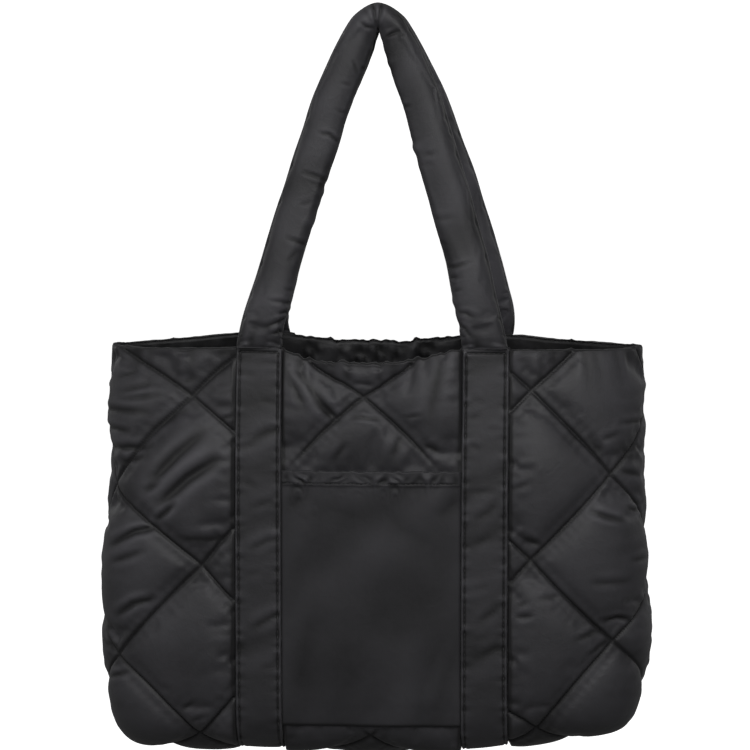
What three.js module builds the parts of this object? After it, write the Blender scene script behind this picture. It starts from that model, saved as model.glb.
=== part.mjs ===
// A quilted, padded tote bag that hangs open from its two stuffed shoulder straps.
// Millimetres. +Z is up and the front faces -Y. The origin is the inside of the fold at the top of
// the strap loops, where a hook carries the bag.

import * as THREE from "three";

// Size of the bag, measured on the stitched sandwich, without the quilting's puff
const bodyWidth = 444;
const bodyHeight = 336;
const bodyDepth = 135;
const strapDrop = 260; // from the hook down to the rim
const hookOffset = 2.5; // the bag hangs this far to the left of its hook
const cornerLift = 15; // the bottom's right corner hangs this much higher than the rest
const cornerLiftReach = 140;

// Quilting: a lattice of diagonal stitch lines, counted in half diamonds
const quiltPitchAcross = 68.5;
const quiltPitchDown = 69.5;
const quiltColumn = -6.3; // a column of crossings lies this far from the centre line
const quiltRow = 38; // and a row of crossings this far below the rim
const stitchedThickness = 3;
const outerPuff = 8.5;
const innerPuff = 3;
const cornerFade = 75; // padding thins out this close to where seams meet at a corner
const stepsPerPitch = 4;

// Bands, pocket, mouth facing
const bandSpacing = 186;
const bandWidth = 38;
const bandThickness = 2;
const bandSeat = 2.5; // height of the flattened padding under a band or the pocket
const bandSeatMargin = 1.5;
const pocketTop = 102; // below the rim, along the panel
const pocketLength = 218;
const pocketBulge = 9;
const pocketFootShare = 0.33; // the bulge builds up over this share of the pocket's length
const bulgeSquareness = 4;
const pocketThickness = 1.5;
const hemLength = 11;
const hemThickness = 2.4;
const mouthFade = 50; // padding over the pocket's mouth thins out over this length
const facingDepth = 38;
const facingThickness = 1.5;
const frontRimSag = 14; // the rim droops between its two bands
const backRimSag = 6;
const sagReach = 90;
const sagRunIn = 0.65; // share of the way from a band to the centre line in which the droop builds up

// Stuffed straps
const strapWidth = 30;
const strapThickness = 26;
const strapLean = 7; // the back strap's legs bow out this much further than the front one's
const strapSides = 12;
const strapStepsPerRow = 2;

// Clearance between sewn pieces
const sewnGap = 0.4;

const panelHalfGap = sewnGap / 2;
const sectionDivisions = 800;
const faceShare = 0.94;

// Level sections from the rim to the bottom seam. drop, width and depth are shares of the body's
// height, width and depth, and power says how square the section is: 2 is an ellipse.
const profileRows = [
  { drop: 0, width: 0.966, depth: 0.82, power: 1.9 },
  { drop: 0.12, width: 0.974, depth: 0.89, power: 2.3 },
  { drop: 0.28, width: 0.984, depth: 0.97, power: 3 },
  { drop: 0.5, width: 0.993, depth: 1, power: 4 },
  { drop: 0.78, width: 1, depth: 1, power: 4 },
  { drop: 0.88, width: 0.98, depth: 0.985, power: 4 },
  { drop: 0.945, width: 0.95, depth: 0.91, power: 4 },
  { drop: 0.985, width: 0.91, depth: 0.66, power: 4 },
  { drop: 1, width: 0.87, depth: 0, power: 4 },
];

// One leg of a strap, from the rim to the fold's middle. rise is a share of that height, spread of
// half the band spacing, width and thickness of the strap's own, and lean of strapLean. tilt is how
// many degrees the section's outer edge is raised.
const legRows = [
  { rise: 0, spread: 1, width: 1.22, thickness: 0.3, lean: 0.3, tilt: 0 },
  { rise: 0.035, spread: 0.978, width: 1.18, thickness: 0.6, lean: 0.65, tilt: 6 },
  { rise: 0.078, spread: 0.948, width: 1.13, thickness: 0.82, lean: 0.9, tilt: 12 },
  { rise: 0.139, spread: 0.899, width: 1.08, thickness: 0.95, lean: 1, tilt: 15 },
  { rise: 0.259, spread: 0.809, width: 1.02, thickness: 1, lean: 1, tilt: 17 },
  { rise: 0.44, spread: 0.66, width: 1, thickness: 1, lean: 0.95, tilt: 18 },
  { rise: 0.62, spread: 0.5, width: 1, thickness: 1, lean: 0.7, tilt: 19 },
  { rise: 0.741, spread: 0.4, width: 1, thickness: 1, lean: 0.4, tilt: 21 },
  { rise: 0.861, spread: 0.262, width: 0.99, thickness: 1, lean: 0.1, tilt: 26 },
  { rise: 0.922, spread: 0.186, width: 0.92, thickness: 0.97, lean: 0, tilt: 35 },
  { rise: 0.966, spread: 0.122, width: 0.83, thickness: 0.93, lean: 0, tilt: 52 },
];
const foldRow = { rise: 1, spread: 0, width: 0.72, thickness: 0.88, lean: 0, tilt: 90 };

const smooth = (share) => THREE.MathUtils.smoothstep(share, 0, 1);

// Body surface

const profilePoint = ({ drop, width, depth }) =>
  new THREE.Vector3((width * bodyWidth) / 2, (depth * bodyDepth) / 2, -drop * bodyHeight);
const profile = new THREE.CatmullRomCurve3(profileRows.map(profilePoint));
profile.arcLengthDivisions = sectionDivisions;
const panelLength = profile.getLength();
const powers = new THREE.SplineCurve(profileRows.map((row, n) => new THREE.Vector2(n, row.power)));

// Half of a level section, from the left side seam round the front to the right one
class HalfSection extends THREE.Curve {
  constructor(halfWidth, halfDepth, power) {
    super();
    this.halfWidth = halfWidth;
    this.halfDepth = halfDepth;
    this.power = power;
    this.arcLengthDivisions = sectionDivisions;
  }

  getPoint(share, target = new THREE.Vector3()) {
    const angle = Math.PI * (1 - share);
    const squared = (value) => Math.sign(value) * Math.abs(value) ** (2 / this.power);
    const x = this.halfWidth * squared(Math.cos(angle));
    const y = -this.halfDepth * squared(Math.sin(angle));
    return target.set(x, y, 0);
  }
}

const widestPower = Math.max(...profileRows.map((row) => row.power));
const seamReach = new HalfSection(bodyWidth / 2, bodyDepth / 2, widestPower).getLength() / 2;
const faceReach = bodyWidth / 2;
const bandReach = (bandSpacing - bandWidth) / 2;
const evenReach = bandReach + 2 * bandWidth;
const bandCentres = [-bandSpacing / 2, bandSpacing / 2];

const sectionCache = new Map();
function sectionAt(down) {
  if (!sectionCache.has(down)) {
    const share = profile.getUtoTmapping(down / panelLength);
    const size = profile.getPoint(share);
    const power = powers.getPoint(share).y;
    sectionCache.set(down, { curve: new HalfSection(size.x, size.y, power), height: size.z });
  }
  return sectionCache.get(down);
}

// How far round a section, of which half is half the length, a stop across the panel lies. Cloth
// between the bands keeps its scale, and the sides take up most of what a shorter section lacks.
function reachRound(across, half) {
  const face = Math.min(faceReach, faceShare * half);
  const even = Math.min(evenReach, face);
  if (across <= evenReach) return (across * even) / evenReach;
  if (across <= faceReach) return THREE.MathUtils.mapLinear(across, evenReach, faceReach, even, face);
  return THREE.MathUtils.mapLinear(across, faceReach, seamReach, face, half);
}

// A point of the stitched sandwich: across is measured round the panel from its centre line, down
// from the rim over the bottom to the seam.
function sandwichPoint(across, down, rimSag) {
  const { curve, height } = sectionAt(down);
  const half = curve.getLength() / 2;
  const along = Math.sign(across) * reachRound(Math.abs(across), half);
  const point = curve.getPointAt(THREE.MathUtils.clamp(0.5 + along / (2 * half), 0, 1));
  const sag = rimSag * smooth((1 - Math.abs(across) / bandReach) / sagRunIn) * smooth(1 - down / sagReach);
  const towardCorner = (point.x - bodyWidth / 2) / cornerLiftReach + 1;
  const lift = cornerLift * smooth(towardCorner) * smooth((2 * down) / panelLength - 1);
  return point.set(point.x - hookOffset, point.y, height - strapDrop - sag + lift);
}

// The outward direction there. On a seam it stays in the seam's plane.
const probe = 1;
function sandwichNormal(across, down, rimSag) {
  const left = Math.max(across - probe, -seamReach);
  const right = Math.min(across + probe, seamReach);
  const above = Math.max(down - probe, 0);
  const below = Math.min(down + probe, panelLength);
  const acrossStep = sandwichPoint(right, down, rimSag).sub(sandwichPoint(left, down, rimSag));
  const downStep = sandwichPoint(across, below, rimSag).sub(sandwichPoint(across, above, rimSag));
  const normal = downStep.cross(acrossStep);
  if (Math.abs(across) === seamReach || down === panelLength) normal.y = 0;
  return normal.normalize();
}

function offsetPoint(across, down, height, side) {
  const point = sandwichPoint(across, down, side.rimSag);
  point.addScaledVector(sandwichNormal(across, down, side.rimSag), height);
  point.y = (point.y - panelHalfGap) * side.facing;
  return point;
}

// Quilting

const latticeAcross = (across) => (across - quiltColumn) / quiltPitchAcross;
const latticeDown = (down) => (down - quiltRow) / quiltPitchDown;

// 0 on a stitch line and 1 in the middle of a diamond
function pillow(across, down) {
  const rising = (latticeAcross(across) + latticeDown(down)) / 2;
  const falling = (latticeAcross(across) - latticeDown(down)) / 2;
  return Math.sqrt(Math.abs(Math.sin(Math.PI * rising) * Math.sin(Math.PI * falling)));
}

const seatReach = bandWidth / 2 + bandSeatMargin;
const hair = 0.1; // tells a stop on a seat's edge from the next one
const underBand = (across) => bandCentres.some((centre) => Math.abs(across - centre) < seatReach + hair);

// Padding is pressed flat at the seams, along the rim, under the bands and under the pocket.
function paddingShare(across, down, side) {
  if (down === 0 || underBand(across)) return 0;
  const fromCorner = Math.hypot(seamReach - Math.abs(across), Math.min(down, panelLength - down));
  const free = smooth(fromCorner / cornerFade);
  if (!side.hasPocket || Math.abs(across) > bandSpacing / 2) return free;
  if (down > pocketTop + pocketLength) return free;
  return free * (1 - smooth((down - pocketTop + mouthFade) / mouthFade));
}

function outerHeight(across, down, side) {
  const atSeam = Math.abs(across) === seamReach || down === panelLength;
  if (atSeam) return stitchedThickness / 2;
  const padding = paddingShare(across, down, side);
  const base = THREE.MathUtils.lerp(bandSeat, stitchedThickness / 2, padding);
  return base + outerPuff * padding * pillow(across, down);
}

function innerHeight(across, down) {
  const open = down <= facingDepth + sewnGap || Math.abs(across) === seamReach || down === panelLength;
  return open ? -stitchedThickness / 2 : -stitchedThickness / 2 - innerPuff * pillow(across, down);
}

// Stops at every quarter of a lattice step, with the given ones, which win over close neighbours
const closestStops = 7;
function stopsFrom(low, high, pitch, origin, wanted) {
  const step = pitch / stepsPerPitch;
  const fixed = [low, high, ...wanted.filter((stop) => stop > low && stop < high)];
  const stops = [...fixed];
  for (let n = Math.ceil((low - origin) / step); origin + n * step < high; n += 1) {
    const stop = origin + n * step;
    if (fixed.every((other) => Math.abs(other - stop) > closestStops)) stops.push(stop);
  }
  return stops.sort((a, b) => a - b);
}

const bandEdges = bandCentres.flatMap((centre) => [centre - seatReach, centre + seatReach]);
const acrossStops = stopsFrom(-seamReach, seamReach, quiltPitchAcross, quiltColumn, bandEdges);
const panelStops = [pocketTop, facingDepth + sewnGap, pocketTop + pocketLength];
const downStops = stopsFrom(0, panelLength, quiltPitchDown, quiltRow, panelStops);

// Solids from grids of points

// A closed solid between an outer and an inner grid of points. A ring's last column joins its first.
function gridSolid(outer, inner, { ring = false, mirrored = false, splits } = {}) {
  const rows = outer.length;
  const columns = outer[0].length;
  const points = [...outer.flat(), ...inner.flat()];
  const outside = (r, c) => r * columns + (c % columns);
  const inside = (r, c) => rows * columns + outside(r, c);
  const triangles = [];
  const face = (...corners) => triangles.push(...(mirrored ? corners.reverse() : corners));
  const quad = (a, b, c, d) => {
    face(a, b, c);
    face(a, c, d);
  };
  const lastColumn = ring ? columns : columns - 1;
  for (let r = 0; r < rows - 1; r += 1) {
    for (let c = 0; c < lastColumn; c += 1) {
      const skin = [outside(r, c), outside(r + 1, c), outside(r + 1, c + 1), outside(r, c + 1)];
      const lining = [inside(r, c), inside(r, c + 1), inside(r + 1, c + 1), inside(r + 1, c)];
      const turned = splits?.(r, c);
      quad(...(turned ? [...skin.slice(1), skin[0]] : skin));
      quad(...(turned ? [...lining.slice(1), lining[0]] : lining));
    }
  }
  for (let c = 0; c < lastColumn; c += 1) {
    quad(outside(0, c), outside(0, c + 1), inside(0, c + 1), inside(0, c));
    quad(inside(rows - 1, c), inside(rows - 1, c + 1), outside(rows - 1, c + 1), outside(rows - 1, c));
  }
  for (let r = 0; !ring && r < rows - 1; r += 1) {
    quad(inside(r, 0), inside(r + 1, 0), outside(r + 1, 0), outside(r, 0));
    quad(outside(r, columns - 1), outside(r + 1, columns - 1), inside(r + 1, columns - 1), inside(r, columns - 1));
  }
  const geometry = new THREE.BufferGeometry().setFromPoints(points);
  geometry.setIndex(triangles);
  geometry.computeVertexNormals();
  return geometry;
}

// A closed solid lofted through rings of points, with a fan over each end
function loftSolid(rings) {
  const sides = rings[0].length;
  const middle = (ring) => ring.reduce((sum, point) => sum.add(point), new THREE.Vector3()).divideScalar(sides);
  const points = [...rings.flat(), middle(rings[0]), middle(rings.at(-1))];
  const [firstCap, lastCap] = [points.length - 2, points.length - 1];
  const lastRing = (rings.length - 1) * sides;
  const triangles = [];
  for (let side = 0; side < sides; side += 1) {
    const next = (side + 1) % sides;
    for (let ring = 0; ring < lastRing; ring += sides) {
      triangles.push(ring + side, ring + next, ring + sides + next);
      triangles.push(ring + side, ring + sides + next, ring + sides + side);
    }
    triangles.push(firstCap, next, side);
    triangles.push(lastCap, lastRing + side, lastRing + next);
  }
  const geometry = new THREE.BufferGeometry().setFromPoints(points);
  geometry.setIndex(triangles);
  geometry.computeVertexNormals();
  return geometry;
}

// Pieces

const front = { facing: 1, rimSag: frontRimSag, hasPocket: true };
const back = { facing: -1, rimSag: backRimSag, hasPocket: false };

const grid = (downs, acrosses, point) => downs.map((down) => acrosses.map((across) => point(across, down)));

// A falling stitch line runs along the other diagonal of its grid cell than a rising one does.
function splitsFallingLine(r, c) {
  const middle = (stops, index) => (stops[index] + stops[index + 1]) / 2;
  const rising = latticeAcross(middle(acrossStops, c)) + latticeDown(middle(downStops, r));
  const falling = latticeAcross(middle(acrossStops, c)) - latticeDown(middle(downStops, r));
  const fromLine = (value) => Math.abs(value / 2 - Math.round(value / 2));
  return fromLine(rising) < fromLine(falling);
}

function panel(side) {
  const outer = grid(downStops, acrossStops, (across, down) =>
    offsetPoint(across, down, outerHeight(across, down, side), side),
  );
  const inner = grid(downStops, acrossStops, (across, down) =>
    offsetPoint(across, down, innerHeight(across, down), side),
  );
  return gridSolid(outer, inner, { mirrored: side.facing < 0, splits: splitsFallingLine });
}

function band(side, centre) {
  const acrosses = [centre - bandWidth / 2, centre, centre + bandWidth / 2];
  const layer = (height) => grid(downStops, acrosses, (across, down) => offsetPoint(across, down, height, side));
  const seat = bandSeat + sewnGap;
  return gridSolid(layer(seat + bandThickness), layer(seat), { mirrored: side.facing < 0 });
}

// The pocket stands off the panel like a shallow pouch, sewn down between the bands and at its foot.
function pocket() {
  const reach = bandReach - sewnGap;
  const acrosses = stopsFrom(-reach, reach, quiltPitchAcross, quiltColumn, []);
  const bottom = pocketTop + pocketLength;
  const hemEnd = pocketTop + hemLength;
  const downs = stopsFrom(pocketTop, bottom, quiltPitchDown, quiltRow, [hemEnd]);
  const footLength = pocketFootShare * pocketLength;
  const bulge = (across, down) =>
    pocketBulge * (1 - (across / reach) ** bulgeSquareness) * smooth((bottom - down) / footLength);
  const seat = bandSeat + sewnGap;
  const layer = (thickness) =>
    grid(downs, acrosses, (across, down) =>
      offsetPoint(across, down, seat + bulge(across, down) + thickness(down), front),
    );
  const cloth = (down) => (down <= hemEnd ? hemThickness : pocketThickness);
  return gridSolid(
    layer(cloth),
    layer(() => 0),
  );
}

// A ring of facing cloth inside the mouth. The back half runs the other way round.
function mouthFacing() {
  const downs = [...downStops.filter((down) => down < facingDepth), facingDepth];
  const layer = (height) =>
    downs.map((down) => [
      ...acrossStops.map((across) => offsetPoint(across, down, height, front)),
      ...acrossStops.toReversed().map((across) => offsetPoint(across, down, height, back)),
    ]);
  const seat = -stitchedThickness / 2 - sewnGap;
  const lastColumn = acrossStops.length - 1;
  const splits = (r, c) =>
    c < lastColumn ? splitsFallingLine(r, c) : c > lastColumn && !splitsFallingLine(r, 2 * lastColumn - c);
  return gridSolid(layer(seat), layer(seat - facingThickness), { ring: true, splits });
}

// A strap runs from its left band over the hook to its right band.
function strap(side) {
  const bandTop = offsetPoint(bandSpacing / 2, 0, bandSeat + sewnGap + bandThickness, side);
  const footDepth = Math.abs(bandTop.y) - bandThickness / 2;
  const footHeight = bandTop.z + sewnGap;
  const foldDepth = (foldRow.thickness * strapThickness) / 2 + sewnGap;
  const foldHeight = (foldRow.width * strapWidth) / 2;
  const station = (row, leg) => {
    const lean = side === back ? row.lean * strapLean : 0;
    const x = leg * ((row.spread * bandSpacing) / 2 + lean) - hookOffset * (1 - row.rise);
    const y = -side.facing * THREE.MathUtils.lerp(footDepth, foldDepth, row.rise);
    const z = THREE.MathUtils.lerp(footHeight, foldHeight, row.rise);
    const tilt = leg < 0 ? 180 - row.tilt : row.tilt;
    const size = new THREE.Vector3(row.width * strapWidth, row.thickness * strapThickness, tilt);
    return { middle: new THREE.Vector3(x, y, z), size };
  };
  const leftLeg = legRows.map((row) => station(row, -1));
  const rightLeg = legRows.map((row) => station(row, 1)).reverse();
  const stations = [...leftLeg, station(foldRow, 0), ...rightLeg];
  const path = new THREE.CatmullRomCurve3(stations.map((one) => one.middle));
  const sizes = new THREE.CatmullRomCurve3(stations.map((one) => one.size));
  const steps = (stations.length - 1) * strapStepsPerRow;
  const rings = [];
  for (let step = 0; step <= steps; step += 1) {
    rings.push(strapRing(path.getPoint(step / steps), sizes.getPoint(step / steps)));
  }
  return loftSolid(rings);
}

// An oval section. size holds its width, its thickness and its tilt in degrees.
function strapRing(middle, size) {
  const tilt = THREE.MathUtils.degToRad(size.z);
  const outward = new THREE.Vector3(Math.cos(tilt), 0, Math.sin(tilt));
  const ring = [];
  for (let side = 0; side < strapSides; side += 1) {
    const angle = (2 * Math.PI * (side + 0.5)) / strapSides;
    const point = middle.clone().addScaledVector(outward, (Math.cos(angle) * size.x) / 2);
    point.y -= (Math.sin(angle) * size.y) / 2;
    ring.push(point);
  }
  return ring;
}

// Materials and assembly

const shell = new THREE.MeshStandardMaterial({ color: 0x2b2b2d, roughness: 0.45, metalness: 0 });
const webbing = new THREE.MeshStandardMaterial({ color: 0x29292b, roughness: 0.5, metalness: 0 });
const pocketCloth = new THREE.MeshStandardMaterial({ color: 0x232325, roughness: 0.55, metalness: 0 });
const facingCloth = new THREE.MeshStandardMaterial({ color: 0x161617, roughness: 0.6, metalness: 0 });

const bag = new THREE.Group();
function add(name, geometry, material) {
  const mesh = new THREE.Mesh(geometry, material);
  mesh.name = name;
  bag.add(mesh);
}

add("front_panel", panel(front), shell);
add("back_panel", panel(back), shell);
add("mouth_facing", mouthFacing(), facingCloth);
add("front_pocket", pocket(), pocketCloth);
add("front_strap", strap(front), shell);
add("back_strap", strap(back), shell);
for (const [sideName, side] of Object.entries({ front, back })) {
  add(`${sideName}_left_band`, band(side, bandCentres[0]), webbing);
  add(`${sideName}_right_band`, band(side, bandCentres[1]), webbing);
}

export default bag;
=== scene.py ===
import math

import bpy
import numpy as np
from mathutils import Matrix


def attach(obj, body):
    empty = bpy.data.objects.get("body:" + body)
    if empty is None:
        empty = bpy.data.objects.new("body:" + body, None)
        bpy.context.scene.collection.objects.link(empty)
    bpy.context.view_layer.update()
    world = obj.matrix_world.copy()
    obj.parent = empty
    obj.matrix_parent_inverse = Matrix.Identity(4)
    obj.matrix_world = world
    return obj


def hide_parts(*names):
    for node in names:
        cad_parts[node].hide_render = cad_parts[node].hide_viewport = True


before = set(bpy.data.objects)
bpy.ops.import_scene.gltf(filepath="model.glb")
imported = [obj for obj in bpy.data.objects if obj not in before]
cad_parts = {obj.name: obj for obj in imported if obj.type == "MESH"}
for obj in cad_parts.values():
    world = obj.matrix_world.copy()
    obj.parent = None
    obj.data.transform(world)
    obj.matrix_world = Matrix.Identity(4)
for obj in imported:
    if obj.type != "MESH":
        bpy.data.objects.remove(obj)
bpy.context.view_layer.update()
print("frame loaded")

# Sizes and places on the cloth are in millimetres, and meshes are in metres.
# across is measured round a panel from its centre line, down from the rim to the seam under the bag.

# Camera

cameraView = {
    "azimuth": 3.5,
    "elevation": 6,
    "distance": 2.6,
    "sensor": 36,
    "target": (0.0008, -0.070, -0.281),
    "frameWidth": 0.6124,  # what the picture is wide, at the target
}


def makeCamera(values):
    azimuth, elevation = math.radians(values["azimuth"]), math.radians(values["elevation"])
    level = math.cos(elevation)
    away = np.array([math.sin(azimuth) * level, -math.cos(azimuth) * level, math.sin(elevation)])
    place = np.array(values["target"]) + away * values["distance"]
    bpy.ops.object.camera_add(location=place, rotation=(math.pi / 2 - elevation, 0, azimuth))
    camera = bpy.context.object
    camera.name = "pictureCamera"
    camera.data.sensor_width = values["sensor"]
    camera.data.lens = values["sensor"] * values["distance"] / values["frameWidth"]
    camera.data.clip_start, camera.data.clip_end = 0.05, 100
    bpy.context.scene.camera = camera


makeCamera(cameraView)
print("camera placed")

# Shape of the body, as the CAD has it

bagShape = {
    "width": 444,
    "height": 336,
    "depth": 135,
    "strapDrop": 260,  # from the hook down to the rim
    "hookOffset": 2.5,  # the bag hangs this far to the left of its hook
    "cornerLift": 15,  # of the bottom's right corner
    "cornerLiftReach": 140,
    "endLift": 3,  # of the right end of the bottom, beyond endLiftFrom
    "endLiftFrom": 60,
    "endLiftReach": 60,
    "growthFrom": 165,  # where the sides begin to follow sideGrowth
    "growthReach": 95,
    "sagReach": 90,
    "sagRunIn": 0.65,
    "rimWaveReach": 9,
    "faceShare": 0.94,
    "halfGap": -0.1,  # the two panels just meet
    "bandSpacing": 186,
    "bandWidth": 38,
    "samples": 1600,
}
profileRows = np.array([  # drop, width, depth and squareness of level sections
    (0, 0.966, 0.82, 1.9),
    (0.12, 0.974, 0.89, 2.3),
    (0.28, 0.984, 0.97, 3),
    (0.5, 0.993, 1, 4),
    (0.78, 1, 1, 4),
    (0.88, 0.98, 0.985, 4),
    (0.945, 0.95, 0.91, 4),
    (0.985, 0.91, 0.66, 4),
    (1, 0.87, 0, 4),
])
sideGrowth = np.array([  # how far out the side seams lie, at places down them
    (0, 5.6), (32, 5.2), (62, 1.5), (90, -2.4), (112, -3.2), (132, -2), (165, 0), (400, 0),
])
rimLifts = {  # how far the rim stands above its plain line, at places across it
    "front": [
        (-262, -4.5), (-195, -4.2), (-145, -2.6), (-114, -1.4), (-76, -2), (-68, -3.6), (-59, -5.5), (-47, -3),
        (-35, 0.6), (-22, 2.6), (-2, 0.6), (23, 2.6), (39, 3), (56, -0.7), (72, -1.8), (122, -2.2), (156, -2.7),
        (194, -3.3), (262, -3.6),
    ],
    "back": [
        (-262, -4.5), (-202, -3.2), (-155, -0.7), (-120, 2.3), (-76, 1), (-68, -0.6), (-26, 1.7), (4, 1.9),
        (17, 0.2), (34, 2.7), (69, -0.3), (117, 1.7), (146, -0.9), (195, -2.6), (262, -3.6),
    ],
}
rimStops = np.arange(-290, 291.0)


def rimCurve(knots):
    across, lift = np.array(knots, float).T
    window = np.hanning(17)
    return np.convolve(np.interp(rimStops, across, lift), window / window.sum(), mode="same")


# A line of uneven waves, another for each seed number
def ripple(along, wavelength, seed, line=0):
    phases = np.random.default_rng(seed).uniform(0, 2 * np.pi, (97, 5))[np.asarray(line).astype(int) % 97]
    total = 0
    for n, (scale, weight) in enumerate([(0.72, 0.5), (1, 1), (1.41, 0.9), (2.1, 0.7), (3.3, 0.6)]):
        total = total + weight * np.sin(2 * np.pi * along / (wavelength * scale) + phases[..., n])
    return total / 1.7


rimGathers = {"length": 9, "reach": 80, "fade": 25, "outside": 0.15}


# The rim is gathered into small waves between its two bands
def rimWave(height, seed):
    between = np.clip((rimGathers["reach"] - np.abs(rimStops)) / rimGathers["fade"], 0, 1)
    share = rimGathers["outside"] + (1 - rimGathers["outside"]) * between
    return height * ripple(rimStops, rimGathers["length"], seed) * share


frontSide = {
    "facing": 1,
    "rimSag": 14,
    "hasPocket": True,
    "seed": 3,
    "rimLift": rimCurve(rimLifts["front"]),
    "rimWave": rimWave(1.0, 63),
}
backSide = {
    "facing": -1,
    "rimSag": 6,
    "hasPocket": False,
    "seed": 8,
    "rimLift": rimCurve(rimLifts["back"]),
    "rimWave": rimWave(0.8, 68),
}


def smooth(share):
    share = np.clip(share, 0, 1)
    return share * share * (3 - 2 * share)


# A smooth curve through points, at places counted in points
def catmullRom(points, places, centripetal=True):
    points, places = np.asarray(points, float), np.atleast_1d(np.asarray(places, float))
    first = np.clip(np.floor(places).astype(int), 0, len(points) - 2)
    share = (places - first)[:, None]
    if centripetal:
        ends = (2 * points[0] - points[1], 2 * points[-1] - points[-2])
    else:
        ends = (points[0], points[-1])
    row = np.vstack([ends[0], points, ends[1]])
    p0, p1, p2, p3 = (row[first + n] for n in range(4))
    if centripetal:
        pairs = ((p0, p1), (p1, p2), (p2, p3))
        d0, d1, d2 = (np.linalg.norm(b - a, axis=1, keepdims=True) ** 0.5 + 1e-9 for a, b in pairs)
        out = ((p1 - p0) / d0 - (p2 - p0) / (d0 + d1) + (p2 - p1) / d1) * d1
        into = ((p2 - p1) / d1 - (p3 - p1) / (d1 + d2) + (p3 - p2) / d2) * d1
    else:
        out, into = (p2 - p0) / 2, (p3 - p1) / 2
    return p1 + out * share + (3 * (p2 - p1) - 2 * out - into) * share**2 + (2 * (p1 - p2) + out + into) * share**3


def lengthsAlong(points):
    return np.concatenate([[0], np.cumsum(np.linalg.norm(np.diff(points, axis=0), axis=1))])


# Half of a level section, from the left side seam round the front to the right one
def halfSection(halfWidth, halfDepth, power):
    angle = np.pi * (1 - np.linspace(0, 1, bagShape["samples"] + 1))
    x = halfWidth * np.sign(np.cos(angle)) * np.abs(np.cos(angle)) ** (2 / power)
    y = -halfDepth * np.abs(np.sin(angle)) ** (2 / power)
    return np.stack([x, y], axis=1)


profilePoints = profileRows[:, [1, 2, 0]] * [bagShape["width"] / 2, bagShape["depth"] / 2, -bagShape["height"]]
profilePlaces = np.linspace(0, len(profileRows) - 1, bagShape["samples"] + 1)
profileLengths = lengthsAlong(catmullRom(profilePoints, profilePlaces))
panelLength = profileLengths[-1]
widest = halfSection(bagShape["width"] / 2, bagShape["depth"] / 2, profileRows[:, 3].max())
seamReach = lengthsAlong(widest)[-1] / 2
faceReach = bagShape["width"] / 2
bandReach = (bagShape["bandSpacing"] - bagShape["bandWidth"]) / 2
evenReach = bandReach + 2 * bagShape["bandWidth"]


# Middle of the stitched layers, at every one of downs and acrosses
def sandwichPoints(downs, acrosses, side):
    downs, acrosses = np.asarray(downs, float), np.asarray(acrosses, float)
    places = np.interp(downs, profileLengths, profilePlaces)
    sizes = catmullRom(profilePoints, places)
    powers = catmullRom(profileRows[:, 3:], places, centripetal=False)[:, 0]
    reach = np.abs(acrosses)
    points = np.zeros((len(downs), len(acrosses), 3))
    for row, (size, power) in enumerate(zip(sizes, powers)):
        section = halfSection(size[0], max(size[1], 0), power)
        lengths = lengthsAlong(section)
        half = lengths[-1] / 2
        face = min(faceReach, bagShape["faceShare"] * half)
        even = min(evenReach, face)
        along = np.sign(acrosses) * np.interp(reach, [0, evenReach, faceReach, seamReach], [0, even, face, half])
        points[row, :, 0] = np.interp(half + along, lengths, section[:, 0])
        points[row, :, 1] = np.interp(half + along, lengths, section[:, 1])
        points[row, :, 2] = size[2]
    rimShare = smooth(1 - downs / bagShape["sagReach"])[:, None]
    sag = side["rimSag"] * smooth((1 - reach / bandReach) / bagShape["sagRunIn"])[None, :]
    sag = sag - np.interp(acrosses, rimStops, side["rimLift"])[None, :]
    wave = np.interp(acrosses, rimStops, side["rimWave"])[None, :] * np.exp(-downs / bagShape["rimWaveReach"])[:, None]
    low = smooth(2 * downs / panelLength - 1)[:, None]
    corner = smooth((points[:, :, 0] - faceReach) / bagShape["cornerLiftReach"] + 1)
    end = smooth((acrosses - bagShape["endLiftFrom"]) / bagShape["endLiftReach"])[None, :]
    lift = bagShape["cornerLift"] * corner * low + bagShape["endLift"] * end * low
    aside = smooth((reach - bagShape["growthFrom"]) / bagShape["growthReach"])[None, :]
    growth = np.interp(downs, *sideGrowth.T)[:, None] * aside
    points[:, :, 0] += growth * np.sign(acrosses)[None, :] - bagShape["hookOffset"]
    points[:, :, 2] += lift + wave - sag * rimShare - bagShape["strapDrop"]
    return points


# Points of the stitched sandwich and the outward direction at each, in the bag's own frame
def clothSurface(downs, acrosses, side):
    downs, acrosses = np.asarray(downs, float), np.asarray(acrosses, float)
    points = sandwichPoints(downs, acrosses, side)
    right = sandwichPoints(downs, np.minimum(acrosses + 1, seamReach), side)
    left = sandwichPoints(downs, np.maximum(acrosses - 1, -seamReach), side)
    below = sandwichPoints(np.minimum(downs + 1, panelLength), acrosses, side)
    above = sandwichPoints(np.maximum(downs - 1, 0), acrosses, side)
    normals = np.cross(below - above, right - left)
    onSeam = (np.abs(acrosses) >= seamReach - 1e-6)[None, :] | (downs >= panelLength - 1e-6)[:, None]
    normals[:, :, 1][onSeam] = 0
    normals /= np.linalg.norm(normals, axis=2, keepdims=True) + 1e-12
    points[:, :, 1] = (points[:, :, 1] - bagShape["halfGap"]) * side["facing"]
    normals[:, :, 1] *= side["facing"]
    return points, normals


# Meshes from grids of points

# The four edges of a grid in turn, as vertex numbers
def borderOf(rows, columns, index):
    top = [index(0, c) for c in range(columns)]
    right = [index(r, columns - 1) for r in range(rows)]
    bottom = [index(rows - 1, c) for c in reversed(range(columns))]
    left = [index(r, 0) for r in reversed(range(rows))]
    return [top, right, bottom, left]


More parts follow.
